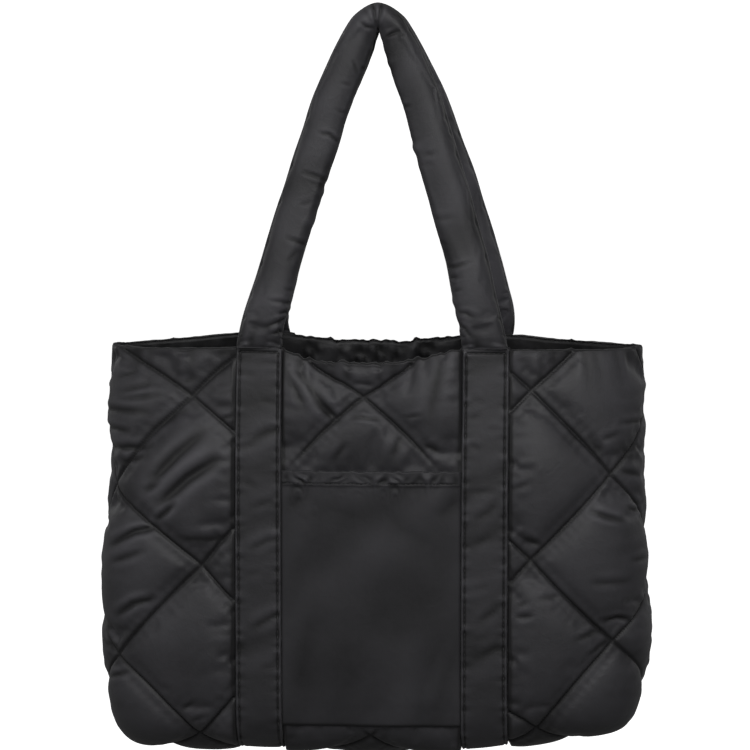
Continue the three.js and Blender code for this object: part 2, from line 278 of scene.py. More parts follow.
# Closes a fine edge to a coarse one. stops says where along the fine edge each coarse vertex lies.
def stripFaces(fine, coarse, stops):
    faces = []
    for n in range(len(coarse) - 1):
        low, high = stops[n], stops[n + 1]
        middle = (low + high) // 2
        faces += [(fine[i], fine[i + 1], coarse[n]) for i in range(low, middle)]
        faces.append((fine[middle], coarse[n + 1], coarse[n]))
        faces += [(fine[i], fine[i + 1], coarse[n + 1]) for i in range(middle, high)]
    return faces


def gridQuads(rows, columns, start=0, closed=False):
    r, c = np.meshgrid(np.arange(rows - 1), np.arange(columns if closed else columns - 1), indexing="ij")
    after = (c + 1) % columns
    quads = np.stack([r * columns + c, (r + 1) * columns + c, (r + 1) * columns + after, r * columns + after], axis=-1)
    return (quads.reshape(-1, 4) + start).tolist()


def newObject(name, points, faces, materials, uvs=None, paintedShading=None, faceMaterial=None):
    mesh = bpy.data.meshes.new(name)
    mesh.from_pydata((np.asarray(points).reshape(-1, 3) / 1000).tolist(), [], faces)
    if uvs is not None:
        corners = np.zeros(len(mesh.loops), dtype=np.int32)
        mesh.loops.foreach_get("vertex_index", corners)
        layer = mesh.uv_layers.new(name="clothMap")
        layer.data.foreach_set("uv", (np.asarray(uvs).reshape(-1, 2) / 1000)[corners].astype(np.float32).ravel())
    # Painted shade, kept as a point attribute for the cloth's colour
    if paintedShading is not None:
        field = mesh.attributes.new("paintedShading", "FLOAT", "POINT")
        field.data.foreach_set("value", np.asarray(paintedShading, dtype=np.float32).ravel())
    for material in materials:
        mesh.materials.append(material)
    if faceMaterial is not None:
        mesh.polygons.foreach_set("material_index", np.asarray(faceMaterial, dtype=np.int32))
    mesh.polygons.foreach_set("use_smooth", np.ones(len(mesh.polygons), dtype=bool))
    mesh.update()
    made = bpy.data.objects.new(name, mesh)
    bpy.context.scene.collection.objects.link(made)
    return made


# A closed piece of cloth from an outer grid and a coarser inner one, which takes every stride-th row and column
def clothShell(name, outer, inner, uvs, paintedShading, materials, stride=1, mirrored=False):
    rows, columns = outer.shape[:2]
    rowStops = sorted({*range(0, rows, stride), rows - 1})
    columnStops = sorted({*range(0, columns, stride), columns - 1})
    coarse = inner[np.ix_(rowStops, columnStops)]
    start = rows * columns
    faces = gridQuads(rows, columns)
    outerCount = len(faces)
    faces += [face[::-1] for face in gridQuads(len(rowStops), len(columnStops), start)]
    fineEdges = borderOf(rows, columns, lambda r, c: r * columns + c)
    coarseEdges = borderOf(len(rowStops), len(columnStops), lambda r, c: start + r * len(columnStops) + c)
    backRows = [rows - 1 - n for n in reversed(rowStops)]
    backColumns = [columns - 1 - n for n in reversed(columnStops)]
    for fine, rough, stops in zip(fineEdges, coarseEdges, [columnStops, rowStops, backColumns, backRows]):
        faces += stripFaces(fine, rough, stops)
    if mirrored:
        faces = [face[::-1] for face in faces]
    points = np.concatenate([outer.reshape(-1, 3), coarse.reshape(-1, 3)])
    maps = np.concatenate([uvs.reshape(-1, 2), uvs[np.ix_(rowStops, columnStops)].reshape(-1, 2)])
    heights = np.concatenate([paintedShading.ravel(), np.zeros(coarse.shape[0] * coarse.shape[1])])
    faceMaterial = [0] * outerCount + [len(materials) - 1] * (len(faces) - outerCount)
    return newObject(name, points, faces, materials, maps, heights, faceMaterial)


# Rounds a top edge over: rows that turn from the outer grid's first row to the inner one's
def rolledEdge(outer, inner, count, fullness):
    middle = (outer[0] + inner[0]) / 2
    up = outer[0] - outer[1]
    up /= np.linalg.norm(up, axis=1, keepdims=True) + 1e-12
    half = outer[0] - middle
    size = np.linalg.norm(half, axis=1, keepdims=True)
    turns = [np.pi * (n + 1) / (count + 1) for n in range(count)]
    return [middle + half * math.cos(turn) + up * size * fullness * math.sin(turn) for turn in turns][::-1]


# A grid with factor times as many steps both ways, on smooth curves through its points
def finerGrid(grid, factor, closed=False):
    def finer(values, wrap):
        count = len(values) if wrap else len(values) - 1
        if wrap:
            row = np.concatenate([values[-1:], values, values[:2]])
        else:
            row = np.concatenate([2 * values[:1] - values[1:2], values, 2 * values[-1:] - values[-2:-1]])
        made = np.empty((count * factor + (0 if wrap else 1),) + values.shape[1:])
        made[-1] = values[-1]
        for n in range(factor):
            t = n / factor
            weights = (-t + 2 * t**2 - t**3, 2 - 5 * t**2 + 3 * t**3, t + 4 * t**2 - 3 * t**3, t**3 - t**2)
            made[n : count * factor : factor] = sum(w / 2 * row[k : k + count] for k, w in enumerate(weights))
        return made

    grid = finer(np.asarray(grid, float), False)
    return np.swapaxes(finer(np.swapaxes(grid, 0, 1), closed), 0, 1)


def finerStops(stops, factor):
    return np.interp(np.arange(factor * (len(stops) - 1) + 1) / factor, np.arange(len(stops)), stops)


# Blows cloth up between the places where it is sewn down, and returns the grid of its points
def inflate(name, grid, sewn, values, closed=False):
    rows, columns = grid.shape[:2]
    faces = gridQuads(rows, columns, closed=closed)
    if values.get("mirrored"):
        faces = [face[::-1] for face in faces]
    cloth = newObject(name, grid, faces, [])
    pins = cloth.vertex_groups.new(name="sewn")
    pins.add([int(n) for n in np.flatnonzero(sewn.ravel())], 1.0, "REPLACE")
    bpy.ops.object.select_all(action="DESELECT")
    cloth.select_set(True)
    bpy.context.view_layer.objects.active = cloth
    modifier = cloth.modifiers.new("Cloth", "CLOTH")
    settings = modifier.settings
    settings.quality = values["quality"]
    settings.mass = values["mass"]
    settings.tension_stiffness = settings.compression_stiffness = values["stretch"]
    settings.shear_stiffness = values["shear"]
    settings.bending_stiffness = values["bending"]
    settings.use_pressure = True
    settings.uniform_pressure_force = values["pressure"]
    settings.shrink_min = -values["slack"]
    settings.vertex_group_mass = "sewn"
    settings.effector_weights.gravity = 0
    modifier.collision_settings.use_collision = False
    modifier.point_cache.frame_start, modifier.point_cache.frame_end = 1, values["frames"]
    for number in range(1, values["frames"] + 1):
        bpy.context.scene.frame_set(number)
    bpy.ops.object.modifier_apply(modifier="Cloth")
    moved = np.zeros(rows * columns * 3)
    cloth.data.vertices.foreach_get("co", moved)
    moved = moved.reshape(rows, columns, 3) * 1000
    bpy.data.objects.remove(cloth, do_unlink=True)
    bpy.context.scene.frame_set(1)
    shift = moved - grid
    size = np.linalg.norm(shift, axis=2, keepdims=True)
    print(name, "moved by at most", round(float(size.max()), 1), "mm, half of it by", round(float(np.median(size)), 1))
    return grid + shift * np.minimum(1, values["cap"] / np.maximum(size, 1e-9))


# Heights of creases, each a depth, a width and the points it runs through. A negative depth makes a ridge.
def creaseHeights(acrossGrid, downGrid, creases):
    heights = np.zeros(acrossGrid.shape)
    for depth, width, *points in creases:
        path = np.array(points, float)
        reach = 5 * width
        near = (acrossGrid > path[:, 0].min() - reach) & (acrossGrid < path[:, 0].max() + reach)
        near &= (downGrid > path[:, 1].min() - reach) & (downGrid < path[:, 1].max() + reach)
        place = np.stack([acrossGrid[near], downGrid[near]], axis=1)
        if not len(place):
            continue
        lengths = lengthsAlong(path)
        nearest, along = np.full(len(place), np.inf), np.zeros(len(place))
        for n, (start, end) in enumerate(zip(path[:-1], path[1:])):
            step = end - start
            share = np.clip((place - start) @ step / (step @ step), 0, 1)
            distance = np.linalg.norm(place - start - share[:, None] * step, axis=1)
            closer = distance < nearest
            nearest[closer] = distance[closer]
            along[closer] = (lengths[n] + share * np.linalg.norm(step))[closer] / lengths[-1]
        taper = np.sin(np.pi * np.clip(0.04 + 0.92 * along, 0, 1)) ** 0.7
        valley = -np.exp(-((nearest / width) ** 1.3)) + 0.4 * np.exp(-(((nearest - 2.2 * width) / (1.3 * width)) ** 2))
        heights[near] += depth * taper * valley
    return heights


# Materials

clothFinishes = {
    "shell": {
        "dark": (0.0055, 0.0053, 0.006),
        "light": (0.047, 0.0459, 0.0518),
        "roughness": (0.5, 0.62),
        "gloss": 0.3,
        "sheen": 0.05,
        "weave": 0.2,
        "crinkle": 0.3,
    },
    "band_cloth": {
        "dark": (0.004, 0.0039, 0.0043),
        "light": (0.0375, 0.0366, 0.0412),
        "roughness": (0.52, 0.64),
        "gloss": 0.3,
        "sheen": 0.05,
        "weave": 0.25,
        "crinkle": 0.28,
    },
    "pocket_cloth": {
        "dark": (0.005, 0.0049, 0.0055),
        "light": (0.032, 0.0312, 0.035),
        "roughness": (0.55, 0.66),
        "gloss": 0.26,
        "sheen": 0.04,
        "weave": 0.22,
        "crinkle": 0.16,
    },
    "facing": {
        "dark": (0.003, 0.003, 0.0033),
        "light": (0.02, 0.0197, 0.0215),
        "roughness": (0.5, 0.62),
        "gloss": 0.28,
        "sheen": 0.04,
        "weave": 0.2,
        "crinkle": 0.35,
    },
    "lining": {
        "dark": (0.003, 0.003, 0.0033),
        "light": (0.012, 0.0118, 0.0128),
        "roughness": (0.55, 0.66),
        "gloss": 0.25,
        "sheen": 0.04,
        "weave": 0.2,
        "crinkle": 0.3,
    },
}
clothPattern = {  # sizes in metres
    "thread": 0.00055,
    "threadDepth": 0.00006,
    "crinkleSize": 0.006,
    "crinkleDepth": 0.0006,
    "cloudScale": 14.0,
    "cloudShare": 0.8,  # of the colour between dark and light
    # share of the painted shade in the colour
    "paintedShadingShare": 0.5,
    "grainShare": 0.2,
    "ridgeShare": 0.35,
}


def clothMaterial(name, finish):
    material = bpy.data.materials.new(name)
    material.use_nodes = True
    nodes, links = material.node_tree.nodes, material.node_tree.links
    shader = nodes["Principled BSDF"]

    def node(kind, values=(), **options):
        made = nodes.new(kind)
        for key, value in options.items():
            setattr(made, key, value)
        for socket, value in dict(values).items():
            if isinstance(value, bpy.types.NodeSocket):
                links.new(value, made.inputs[socket])
            else:
                made.inputs[socket].default_value = value
        return made

    def math2(operation, a, b):
        return node("ShaderNodeMath", {0: a, 1: b}, operation=operation).outputs[0]

    cloth = node("ShaderNodeUVMap", uv_map="clothMap").outputs["UV"]
    paintedShading = node("ShaderNodeAttribute", attribute_name="paintedShading").outputs["Fac"]

    def pattern(kind, scale, values, **options):
        return node(kind, {"Vector": cloth, "Scale": scale, **values}, **options).outputs["Fac"]

    size = clothPattern["crinkleSize"]
    threads = 1 / clothPattern["thread"] / 20 * math.pi
    waves = [pattern("ShaderNodeTexWave", threads, {"Distortion": 0.0}, bands_direction=way) for way in ("X", "Y")]
    weave = math2("MULTIPLY", waves[0], waves[1])
    cloud = pattern("ShaderNodeTexNoise", clothPattern["cloudScale"], {"Detail": 3.0, "Roughness": 0.55})
    grain = pattern("ShaderNodeTexNoise", 1 / size, {"Detail": 4.0, "Roughness": 0.6, "Distortion": 0.6})
    folds = pattern("ShaderNodeTexNoise", 0.3 / size, {"Detail": 2.0, "Roughness": 0.5, "Distortion": 1.2})
    beside = math2("ABSOLUTE", math2("MULTIPLY", math2("SUBTRACT", folds, 0.5), 3.0), 0.0)
    ridge = math2("POWER", math2("SUBTRACT", 1.0, beside), 4.0)
    crumple = math2("ADD", grain, math2("MULTIPLY", ridge, clothPattern["ridgeShare"]))

    high = math2("MULTIPLY", paintedShading, clothPattern["paintedShadingShare"])  # painted shade: raised cloth is coloured lighter and sunk cloth darker
    # random tone of the cloth, plus the painted shade
    toneAndShade = math2("ADD", math2("MULTIPLY", cloud, clothPattern["cloudShare"]), high)
    tint = math2("ADD", toneAndShade, math2("MULTIPLY", math2("SUBTRACT", grain, 0.5), clothPattern["grainShare"]))
    colours = {"Factor": tint, "A": (*finish["dark"], 1), "B": (*finish["light"], 1)}
    mixed = node("ShaderNodeMix", colours, data_type="RGBA")
    links.new(mixed.outputs[2], shader.inputs["Base Color"])
    least, most = finish["roughness"]
    span = {"Value": cloud, "From Min": 0.3, "From Max": 0.7, "To Min": least, "To Max": most}
    links.new(node("ShaderNodeMapRange", span).outputs["Result"], shader.inputs["Roughness"])
    crinkles = {"Strength": finish["crinkle"], "Distance": clothPattern["crinkleDepth"], "Height": crumple}
    soft = node("ShaderNodeBump", crinkles).outputs[0]
    bumps = {"Strength": finish["weave"], "Distance": clothPattern["threadDepth"], "Height": weave, "Normal": soft}
    links.new(node("ShaderNodeBump", bumps).outputs[0], shader.inputs["Normal"])
    shader.inputs["Specular IOR Level"].default_value = finish["gloss"]
    shader.inputs["Sheen Weight"].default_value = finish["sheen"]
    shader.inputs["Sheen Roughness"].default_value = 0.5
    return material


materials = {name: clothMaterial(name, finish) for name, finish in clothFinishes.items()}

threadFinish = {
    "dark": (0.004, 0.004, 0.0045),
    "light": (0.014, 0.014, 0.0155),
    "grainScale": 900,
    "roughness": 0.55,
}


def threadMaterial(name, finish):
    material = bpy.data.materials.new(name)
    material.use_nodes = True
    nodes, links = material.node_tree.nodes, material.node_tree.links
    shader = nodes["Principled BSDF"]
    place = nodes.new("ShaderNodeTexCoord").outputs["Object"]
    noise = nodes.new("ShaderNodeTexNoise")
    noise.inputs["Scale"].default_value = finish["grainScale"]
    mixed = nodes.new("ShaderNodeMix")
    mixed.data_type = "RGBA"
    mixed.inputs["A"].default_value = (*finish["dark"], 1)
    mixed.inputs["B"].default_value = (*finish["light"], 1)
    links.new(place, noise.inputs["Vector"])
    links.new(noise.outputs["Fac"], mixed.inputs["Factor"])
    links.new(mixed.outputs[2], shader.inputs["Base Color"])
    shader.inputs["Roughness"].default_value = finish["roughness"]
    return material


thread = threadMaterial("thread", threadFinish)
print("materials made")

# Stitches: one is modelled, and copied along the lines

stitchValues = {"length": 3.2, "width": 0.65, "height": 0.5, "pitch": 4.2, "lift": 0.05}


def modelStitch(values):
    bpy.ops.object.select_all(action="DESELECT")
    bpy.ops.mesh.primitive_uv_sphere_add(segments=6, ring_count=5, radius=0.5, rotation=(0, math.pi / 2, 0))
    bpy.ops.object.transform_apply(rotation=True)
    bpy.ops.object.mode_set(mode="EDIT")
    bpy.ops.mesh.select_all(action="SELECT")
    bpy.ops.transform.resize(value=(values["length"], values["width"], values["height"]))
    bpy.ops.object.mode_set(mode="OBJECT")
    model = bpy.context.object
    points = np.array([vertex.co for vertex in model.data.vertices])
    points[:, 0] = np.sign(points[:, 0]) * np.abs(points[:, 0] / values["length"] * 2) ** 0.7 * values["length"] / 2
    points[:, 2] -= (points[:, 0] / values["length"] * 2) ** 4 * values["height"] * 0.8  # its ends go into the cloth
    faces = [tuple(face.vertices) for face in model.data.polygons]
    bpy.data.objects.remove(model, do_unlink=True)
    return points, faces


stitchPoints, stitchFaces = modelStitch(stitchValues)


# Lines are pairs of points and outward directions along the cloth
def stitchRows(name, lines, pitch=stitchValues["pitch"]):
    points, faces = [], []
    for line, outward in lines:
        line, outward = np.asarray(line, float), np.asarray(outward, float)
        if len(line) < 2:
            continue
        lengths = lengthsAlong(line)
        places = np.arange(pitch * 0.6, lengths[-1] - pitch * 0.4, pitch)
        for place in places:
            ends = [np.array([np.interp(place + step, lengths, line[:, n]) for n in range(3)]) for step in (-1.2, 1.2)]
            up = np.array([np.interp(place, lengths, outward[:, n]) for n in range(3)])
            forward = ends[1] - ends[0]
            forward /= np.linalg.norm(forward) + 1e-12
            sideways = np.cross(up, forward)
            sideways /= np.linalg.norm(sideways) + 1e-12
            up = np.cross(forward, sideways)
            middle = (ends[0] + ends[1]) / 2 + up * stitchValues["lift"]
            start = len(points) * len(stitchPoints)
            points.append(middle + stitchPoints @ np.stack([forward, sideways, up]))
            faces += [tuple(n + start for n in face) for face in stitchFaces]
    made = newObject(name, np.concatenate(points), faces, [thread])
    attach(made, "root")
    print(name, len(points), "stitches")
    return made


# Quilted panels

quilting = {
    "pitchAcross": 68.5,
    "pitchDown": 69.5,
    "column": -6.3,
    "row": 38,
    "cells": 14,
    "refine": 3,
    "flatness": 0.72,
    "stitched": 3,
    "seat": 2.5,
    "seatMargin": 1.5,
    "puff": 8,
    "startShare": 0.95,
    "innerPuff": 3,
    "cornerFade": 75,
    "lineDepth": 1.0,
    "pucker": 0.14,
    "puckerReach": 4,
    "puckerLength": 9,
    "onLine": 0.3,  # points this near a line count as on it
    "valleyWidth": 1.7,
    "seamHeight": 0.7,
    "innerFrom": 38.5,  # the inner side is flat down to here, behind the facing
    "innerFade": 8,
    "stitchGap": 7,  # a line of stitches ends where its points lie this far apart
    "rimRows": 3,
}
edgePuckers = {  # height, the distance from the edge where they are highest, and length
    "seam": (0.35, 14, 16),
    "band": (0.2, 5, 11),
    "rim": (0.3, 9, 13),
}
panelShade = {  # painted shade: how much darker the colour is made at the rim, round the foot and beside the quilting lines
    "rim": 0.9,
    "rimReach": 2.5,
    "belowRim": 0.1,
    "belowRimReach": 12,
    "foot": 0.65,
    "footFrom": 314,
    "footFade": 26,
    "line": 0.4,
    "lineReach": 8,
}
pocketShape = {
    "top": 102,
    "length": 211.5,
    "bulge": 4.5,
    "footShare": 0.33,
    "squareness": 4,
    "thickness": 1.5,
    "hemLength": 11,
    "hemThickness": 2.4,
    "stitchRow": 9.4,
    "mouthFade": 50,  # of the padding behind it, above its mouth
    "footFade": 26,
    "step": 1.5,
}
panelCloth = {
    "quality": 5,
    "mass": 0.3,
    "stretch": 15,
    "shear": 5,
    "bending": 12,
    "pressure": 30,
    "slack": 0.02,
    "frames": 20,
    "cap": 5,  # no point moves farther
}
sewnGap = 0.4
panelCreases = {
    "front": [
        (1, 2.2, (-210, 41), (-182, 31)), (0.9, 2, (-210, 47), (-172, 41)), (1.6, 2.2, (-245, 70), (-203, 73)),
        (1.8, 2.4, (-242, 89), (-184, 86)), (0.8, 1.7, (-159, 30), (-149, 27)), (1.2, 1.5, (-123, 60), (-114, 57)),
        (2, 4.1, (-181, 115), (-158, 91), (-137, 72)), (3.2, 4.1, (-172, 130), (-149, 109), (-126, 94)),
        (2.6, 2, (-177, 144), (-169, 138), (-161, 131)), (2.6, 2.5, (-215, 168), (-196, 156), (-177, 150)),
        (1.4, 2.4, (-217, 183), (-187, 170)), (2.6, 2.4, (-212, 225), (-196, 214), (-180, 209)),
        (1.4, 2, (-225, 281), (-203, 273)), (1, 3, (-157, 158), (-122, 159)), (1, 3, (-184, 72), (-150, 50)),
        (1.2, 2.6, (-244, 55), (-185, 57)), (1, 1.9, (-158, 304), (-146, 293)), (0.9, 1.7, (-212, 28), (-199, 22)),
        (1, 1.7, (-149, 312), (-138, 307)), (1.3, 2.2, (-187, 122), (-174, 115)),
        (1.2, 2.2, (-237, 252), (-212, 256)), (1, 2.2, (-184, 92), (-213, 100)), (1.3, 2, (203, 64), (245, 63)),
        (0.9, 2, (187, 77), (203, 72)), (1.7, 2.1, (180, 135), (192, 140), (205, 144)),
        (1.6, 2, (191, 227), (202, 223), (214, 227)), (1.3, 2, (118, 221), (132, 219)),
        (0.9, 1.7, (119, 212), (128, 208)), (1.5, 1.7, (216, 128), (232, 133)), (1.5, 1.7, (211, 134), (231, 138)),
        (0.9, 2.2, (113, 116), (129, 110)), (0.8, 2.6, (179, 192), (210, 192)), (1, 2.6, (167, 241), (187, 235)),
        (1.2, 2.2, (179, 255), (196, 243)), (0.8, 2.2, (138, 206), (155, 203)), (1, 3, (191, 90), (179, 77)),
        (1.2, 2.6, (122, 153), (138, 161)), (1.2, 2.2, (211, 176), (235, 176)), (1.2, 2.2, (208, 103), (227, 109)),
        (1, 1.8, (-15, 53), (9, 55)), (1.4, 3.8, (-60, 10), (-45, 33), (-30, 57)), (1.2, 3.8, (-67, 20), (-54, 45)),
        (1.8, 3, (-41, 40), (-27, 57)), (0.8, 1.8, (28, 53), (42, 52)), (1.2, 3, (44, 79), (56, 85)),
        (1, 3, (24, 74), (16, 93)), (1, 3.8, (56, 6), (48, 57)), (0.9, 2.2, (-21, 79), (-33, 96)),
    ],
    "back": [
        (1.6, 2.4, (-240, 64), (-200, 70)), (2.4, 3.8, (-180, 60), (-160, 84), (-140, 96)),
        (1.4, 2.1, (-236, 120), (-204, 112)), (2.2, 2.5, (-214, 190), (-192, 178), (-176, 176)),
        (1.2, 2.2, (-170, 230), (-140, 236)), (1.8, 2.2, (-236, 262), (-206, 250)),
        (1.4, 2.5, (-60, 30), (-36, 44)), (2.2, 3.8, (-52, 120), (-30, 150), (-22, 176)),
        (1.5, 2.2, (-10, 70), (24, 76)), (1.6, 2.2, (30, 150), (58, 140)),
        (2, 3, (-60, 236), (-34, 222), (-12, 224)), (1.3, 2.2, (20, 270), (56, 262)),
        (1.2, 2.1, (40, 40), (62, 34)), (2.2, 3.8, (128, 96), (152, 78), (172, 52)),
        (1.5, 2.2, (206, 80), (240, 86)), (2.2, 2.5, (178, 150), (200, 160), (222, 160)),
        (1.4, 2.2, (124, 190), (150, 184)), (1.7, 2.2, (196, 232), (230, 238)), (1.3, 2, (150, 290), (176, 280)),
        (1.2, 2.2, (-130, 290), (-160, 300)), (1, 1.8, (-40, 300), (-10, 306)),
    ],
}
quiltShifts = {  # how far the front's quilting lies off its even lattice, in a row for each place down
    "across": (-262, -212, -181, -143, -114, -74, -42, -6, 30, 74, 131, 199, 262),
    "down": (0, 38, 107, 177, 246, 316, 390),
    "acrossShift": [
        (0, -26, -42, -14, 0, 0, -10, 0, 6, 0, 0, 0, 0), (0, -10, -13, -6, 0, 0, -3, 0, 1, 0, 0, 0, 0),
        (0, -13, -8, -2, 0, 0, 0, 0, 0, 0, 0, -1, 0), (0, -6, -1, 4, 0, 0, 0, 0, 0, 0, 0, 0, 0),
        (0, -3, -1, 0, 0, 0, 0, 0, 0, 0, 0, 0, 0), (0, 0, 0, 0, 0, 0, 3, 6, 4, 0, 6, 2, 0), (0,) * 13,
    ],
    "downShift": [
        (0,) * 13, (8, 6, 4, 3, 2, -2, -5, -7, -5, -3, -4, -3, -2),
        (11, 11, 7, 4, 3, 0, 0, -1, 0, -1, -3, -2.5, -2), (12, 11, 7, 4, 2, 0, 0, 0, 0, 0, -3, -2, -1),
        (13, 14, 8, 5, 2, 0, 0, 0, 0, 0, 0, -1.5, 0), (5, 7, 9, 10, 6, 5, 7, 9, 7, 5, 6, 2, 0), (0,) * 13,
    ],
}


# Values of a grid at any places, between its rows and columns
def gridValues(rowPlaces, columnPlaces, values, downs, acrosses):
    values = np.asarray(values, float)
    r = np.interp(downs, rowPlaces, np.arange(len(rowPlaces)))
    c = np.interp(acrosses, columnPlaces, np.arange(len(columnPlaces)))
    r0 = np.clip(np.floor(r).astype(int), 0, values.shape[0] - 2)
    c0 = np.clip(np.floor(c).astype(int), 0, values.shape[1] - 2)
    shape = r.shape + (1,) * (values.ndim - 2)
    y, x = (r - r0).reshape(shape), (c - c0).reshape(shape)
    above = (1 - x) * values[r0, c0] + x * values[r0, c0 + 1]
    below = (1 - x) * values[r0 + 1, c0] + x * values[r0 + 1, c0 + 1]
    return (1 - y) * above + y * below


quiltGrid = {"step": 2, "window": 11, "edgeFade": 14, "bandMargin": 1, "bandFade": 10, "rows": 521, "columns": 701}


# How far places across lie from the edge of the nearest band
def fromBands(acrosses):
    return np.abs(np.abs(np.asarray(acrosses)) - bagShape["bandSpacing"] / 2) - bagShape["bandWidth"] / 2


# Where the points of the even lattice lie on the cloth, and the cloth there
def quiltSurface(downs, acrosses, side):
    downGrid, acrossGrid = np.meshgrid(downs, acrosses, indexing="ij")
    if not side["hasPocket"]:
        return (*clothSurface(downs, acrosses, side), downGrid, acrossGrid)
    window = np.hanning(quiltGrid["window"]) / np.hanning(quiltGrid["window"]).sum()

    def softened(line):
        return np.convolve(np.pad(line, len(window) // 2, mode="edge"), window, mode="valid")

    places = [quiltShifts["down"], quiltShifts["across"]]
    even = [np.arange(stops[0], stops[-1] + 1.0, quiltGrid["step"]) for stops in places]
    soft = {}
    for key in ("acrossShift", "downShift"):
        table = gridValues(*places, quiltShifts[key], *np.meshgrid(*even, indexing="ij"))
        for _ in range(2):  # across, then down
            table = np.apply_along_axis(softened, 1, table).T
        soft[key] = gridValues(*even, table, downGrid, acrossGrid)
    fade = quiltGrid["edgeFade"]
    ends = smooth(downGrid / fade) * smooth((panelLength - downGrid) / fade)
    beside = smooth((fromBands(acrossGrid) - quiltGrid["bandMargin"]) / quiltGrid["bandFade"])
    edges = smooth((seamReach - np.abs(acrossGrid)) / fade) * beside
    movedDowns = np.clip(downGrid + soft["downShift"] * ends, 0, panelLength)
    movedAcrosses = np.clip(acrossGrid + soft["acrossShift"] * edges, -seamReach, seamReach)
    rows = np.linspace(0, panelLength, quiltGrid["rows"])
    columns = np.linspace(-seamReach, seamReach, quiltGrid["columns"])
    surface = clothSurface(rows, columns, side)
    points, normals = (gridValues(rows, columns, values, movedDowns, movedAcrosses) for values in surface)
    return points, normals / np.linalg.norm(normals, axis=2, keepdims=True), movedDowns, movedAcrosses


# Stops on the lattice from low to high. The first and the last step aren't much shorter than the others.
def latticeStops(low, high, pitch, origin, cells):
    step, spare = pitch / cells, 0.35
    numbers = np.arange(math.ceil((low - origin) / step + spare), math.floor((high - origin) / step - spare) + 1)
    return np.concatenate([[low], origin + numbers * step, [high]])


# Places counted in quilting lines: a line of either family runs where its count is whole
def latticePlaces(downs, acrosses):
    a = (np.asarray(acrosses) - quilting["column"])[None, :] / quilting["pitchAcross"]
    d = (np.asarray(downs) - quilting["row"])[:, None] / quilting["pitchDown"]
    return (a + d) / 2, (a - d) / 2


lineSpacing = 2 / math.hypot(1 / quilting["pitchAcross"], 1 / quilting["pitchDown"])


# 0 on the quilting lines and 1 in the middle of a diamond
def pillow(downs, acrosses):
    rising, falling = latticePlaces(downs, acrosses)
    return np.sqrt(np.abs(np.sin(np.pi * rising) * np.sin(np.pi * falling)))


def bandDistance(acrosses):
    return fromBands(acrosses) - quilting["seatMargin"]


# How much of its padding the panel has: none under a band, little under the pocket
def paddingShare(downs, acrosses, side):
    a, d = np.abs(acrosses), downs
    free = smooth(np.hypot(seamReach - a, np.minimum(d, panelLength - d)) / quilting["cornerFade"])
    if side["hasPocket"]:
        between = a <= bagShape["bandSpacing"] / 2
        mouth = 1 - smooth((d - pocketShape["top"] + pocketShape["mouthFade"]) / pocketShape["mouthFade"])
        foot = smooth((d - pocketShape["top"] - pocketShape["length"]) / pocketShape["footFade"])
        free = np.where(between, free * np.where(d <= pocketShape["top"] + pocketShape["length"], mouth, foot), free)
    return np.where((bandDistance(acrosses) < 0.1) | (d <= 0), 0, free)


def innerHeights(downs, pillows):
    belowFacing = smooth((downs - quilting["innerFrom"]) / quilting["innerFade"])
    return -quilting["stitched"] / 2 - quilting["innerPuff"] * belowFacing * pillows


# Heights of the padding before it is blown up
def startHeights(downs, acrosses, padding, flat):
    return flat + quilting["startShare"] * quilting["puff"] * padding * pillow(downs, acrosses) ** quilting["flatness"]


# Small waves beside a seam, highest at reach from it
def puckers(height, distance, reach, waves):
    return height * distance / reach * np.exp(1 - distance / reach) * waves


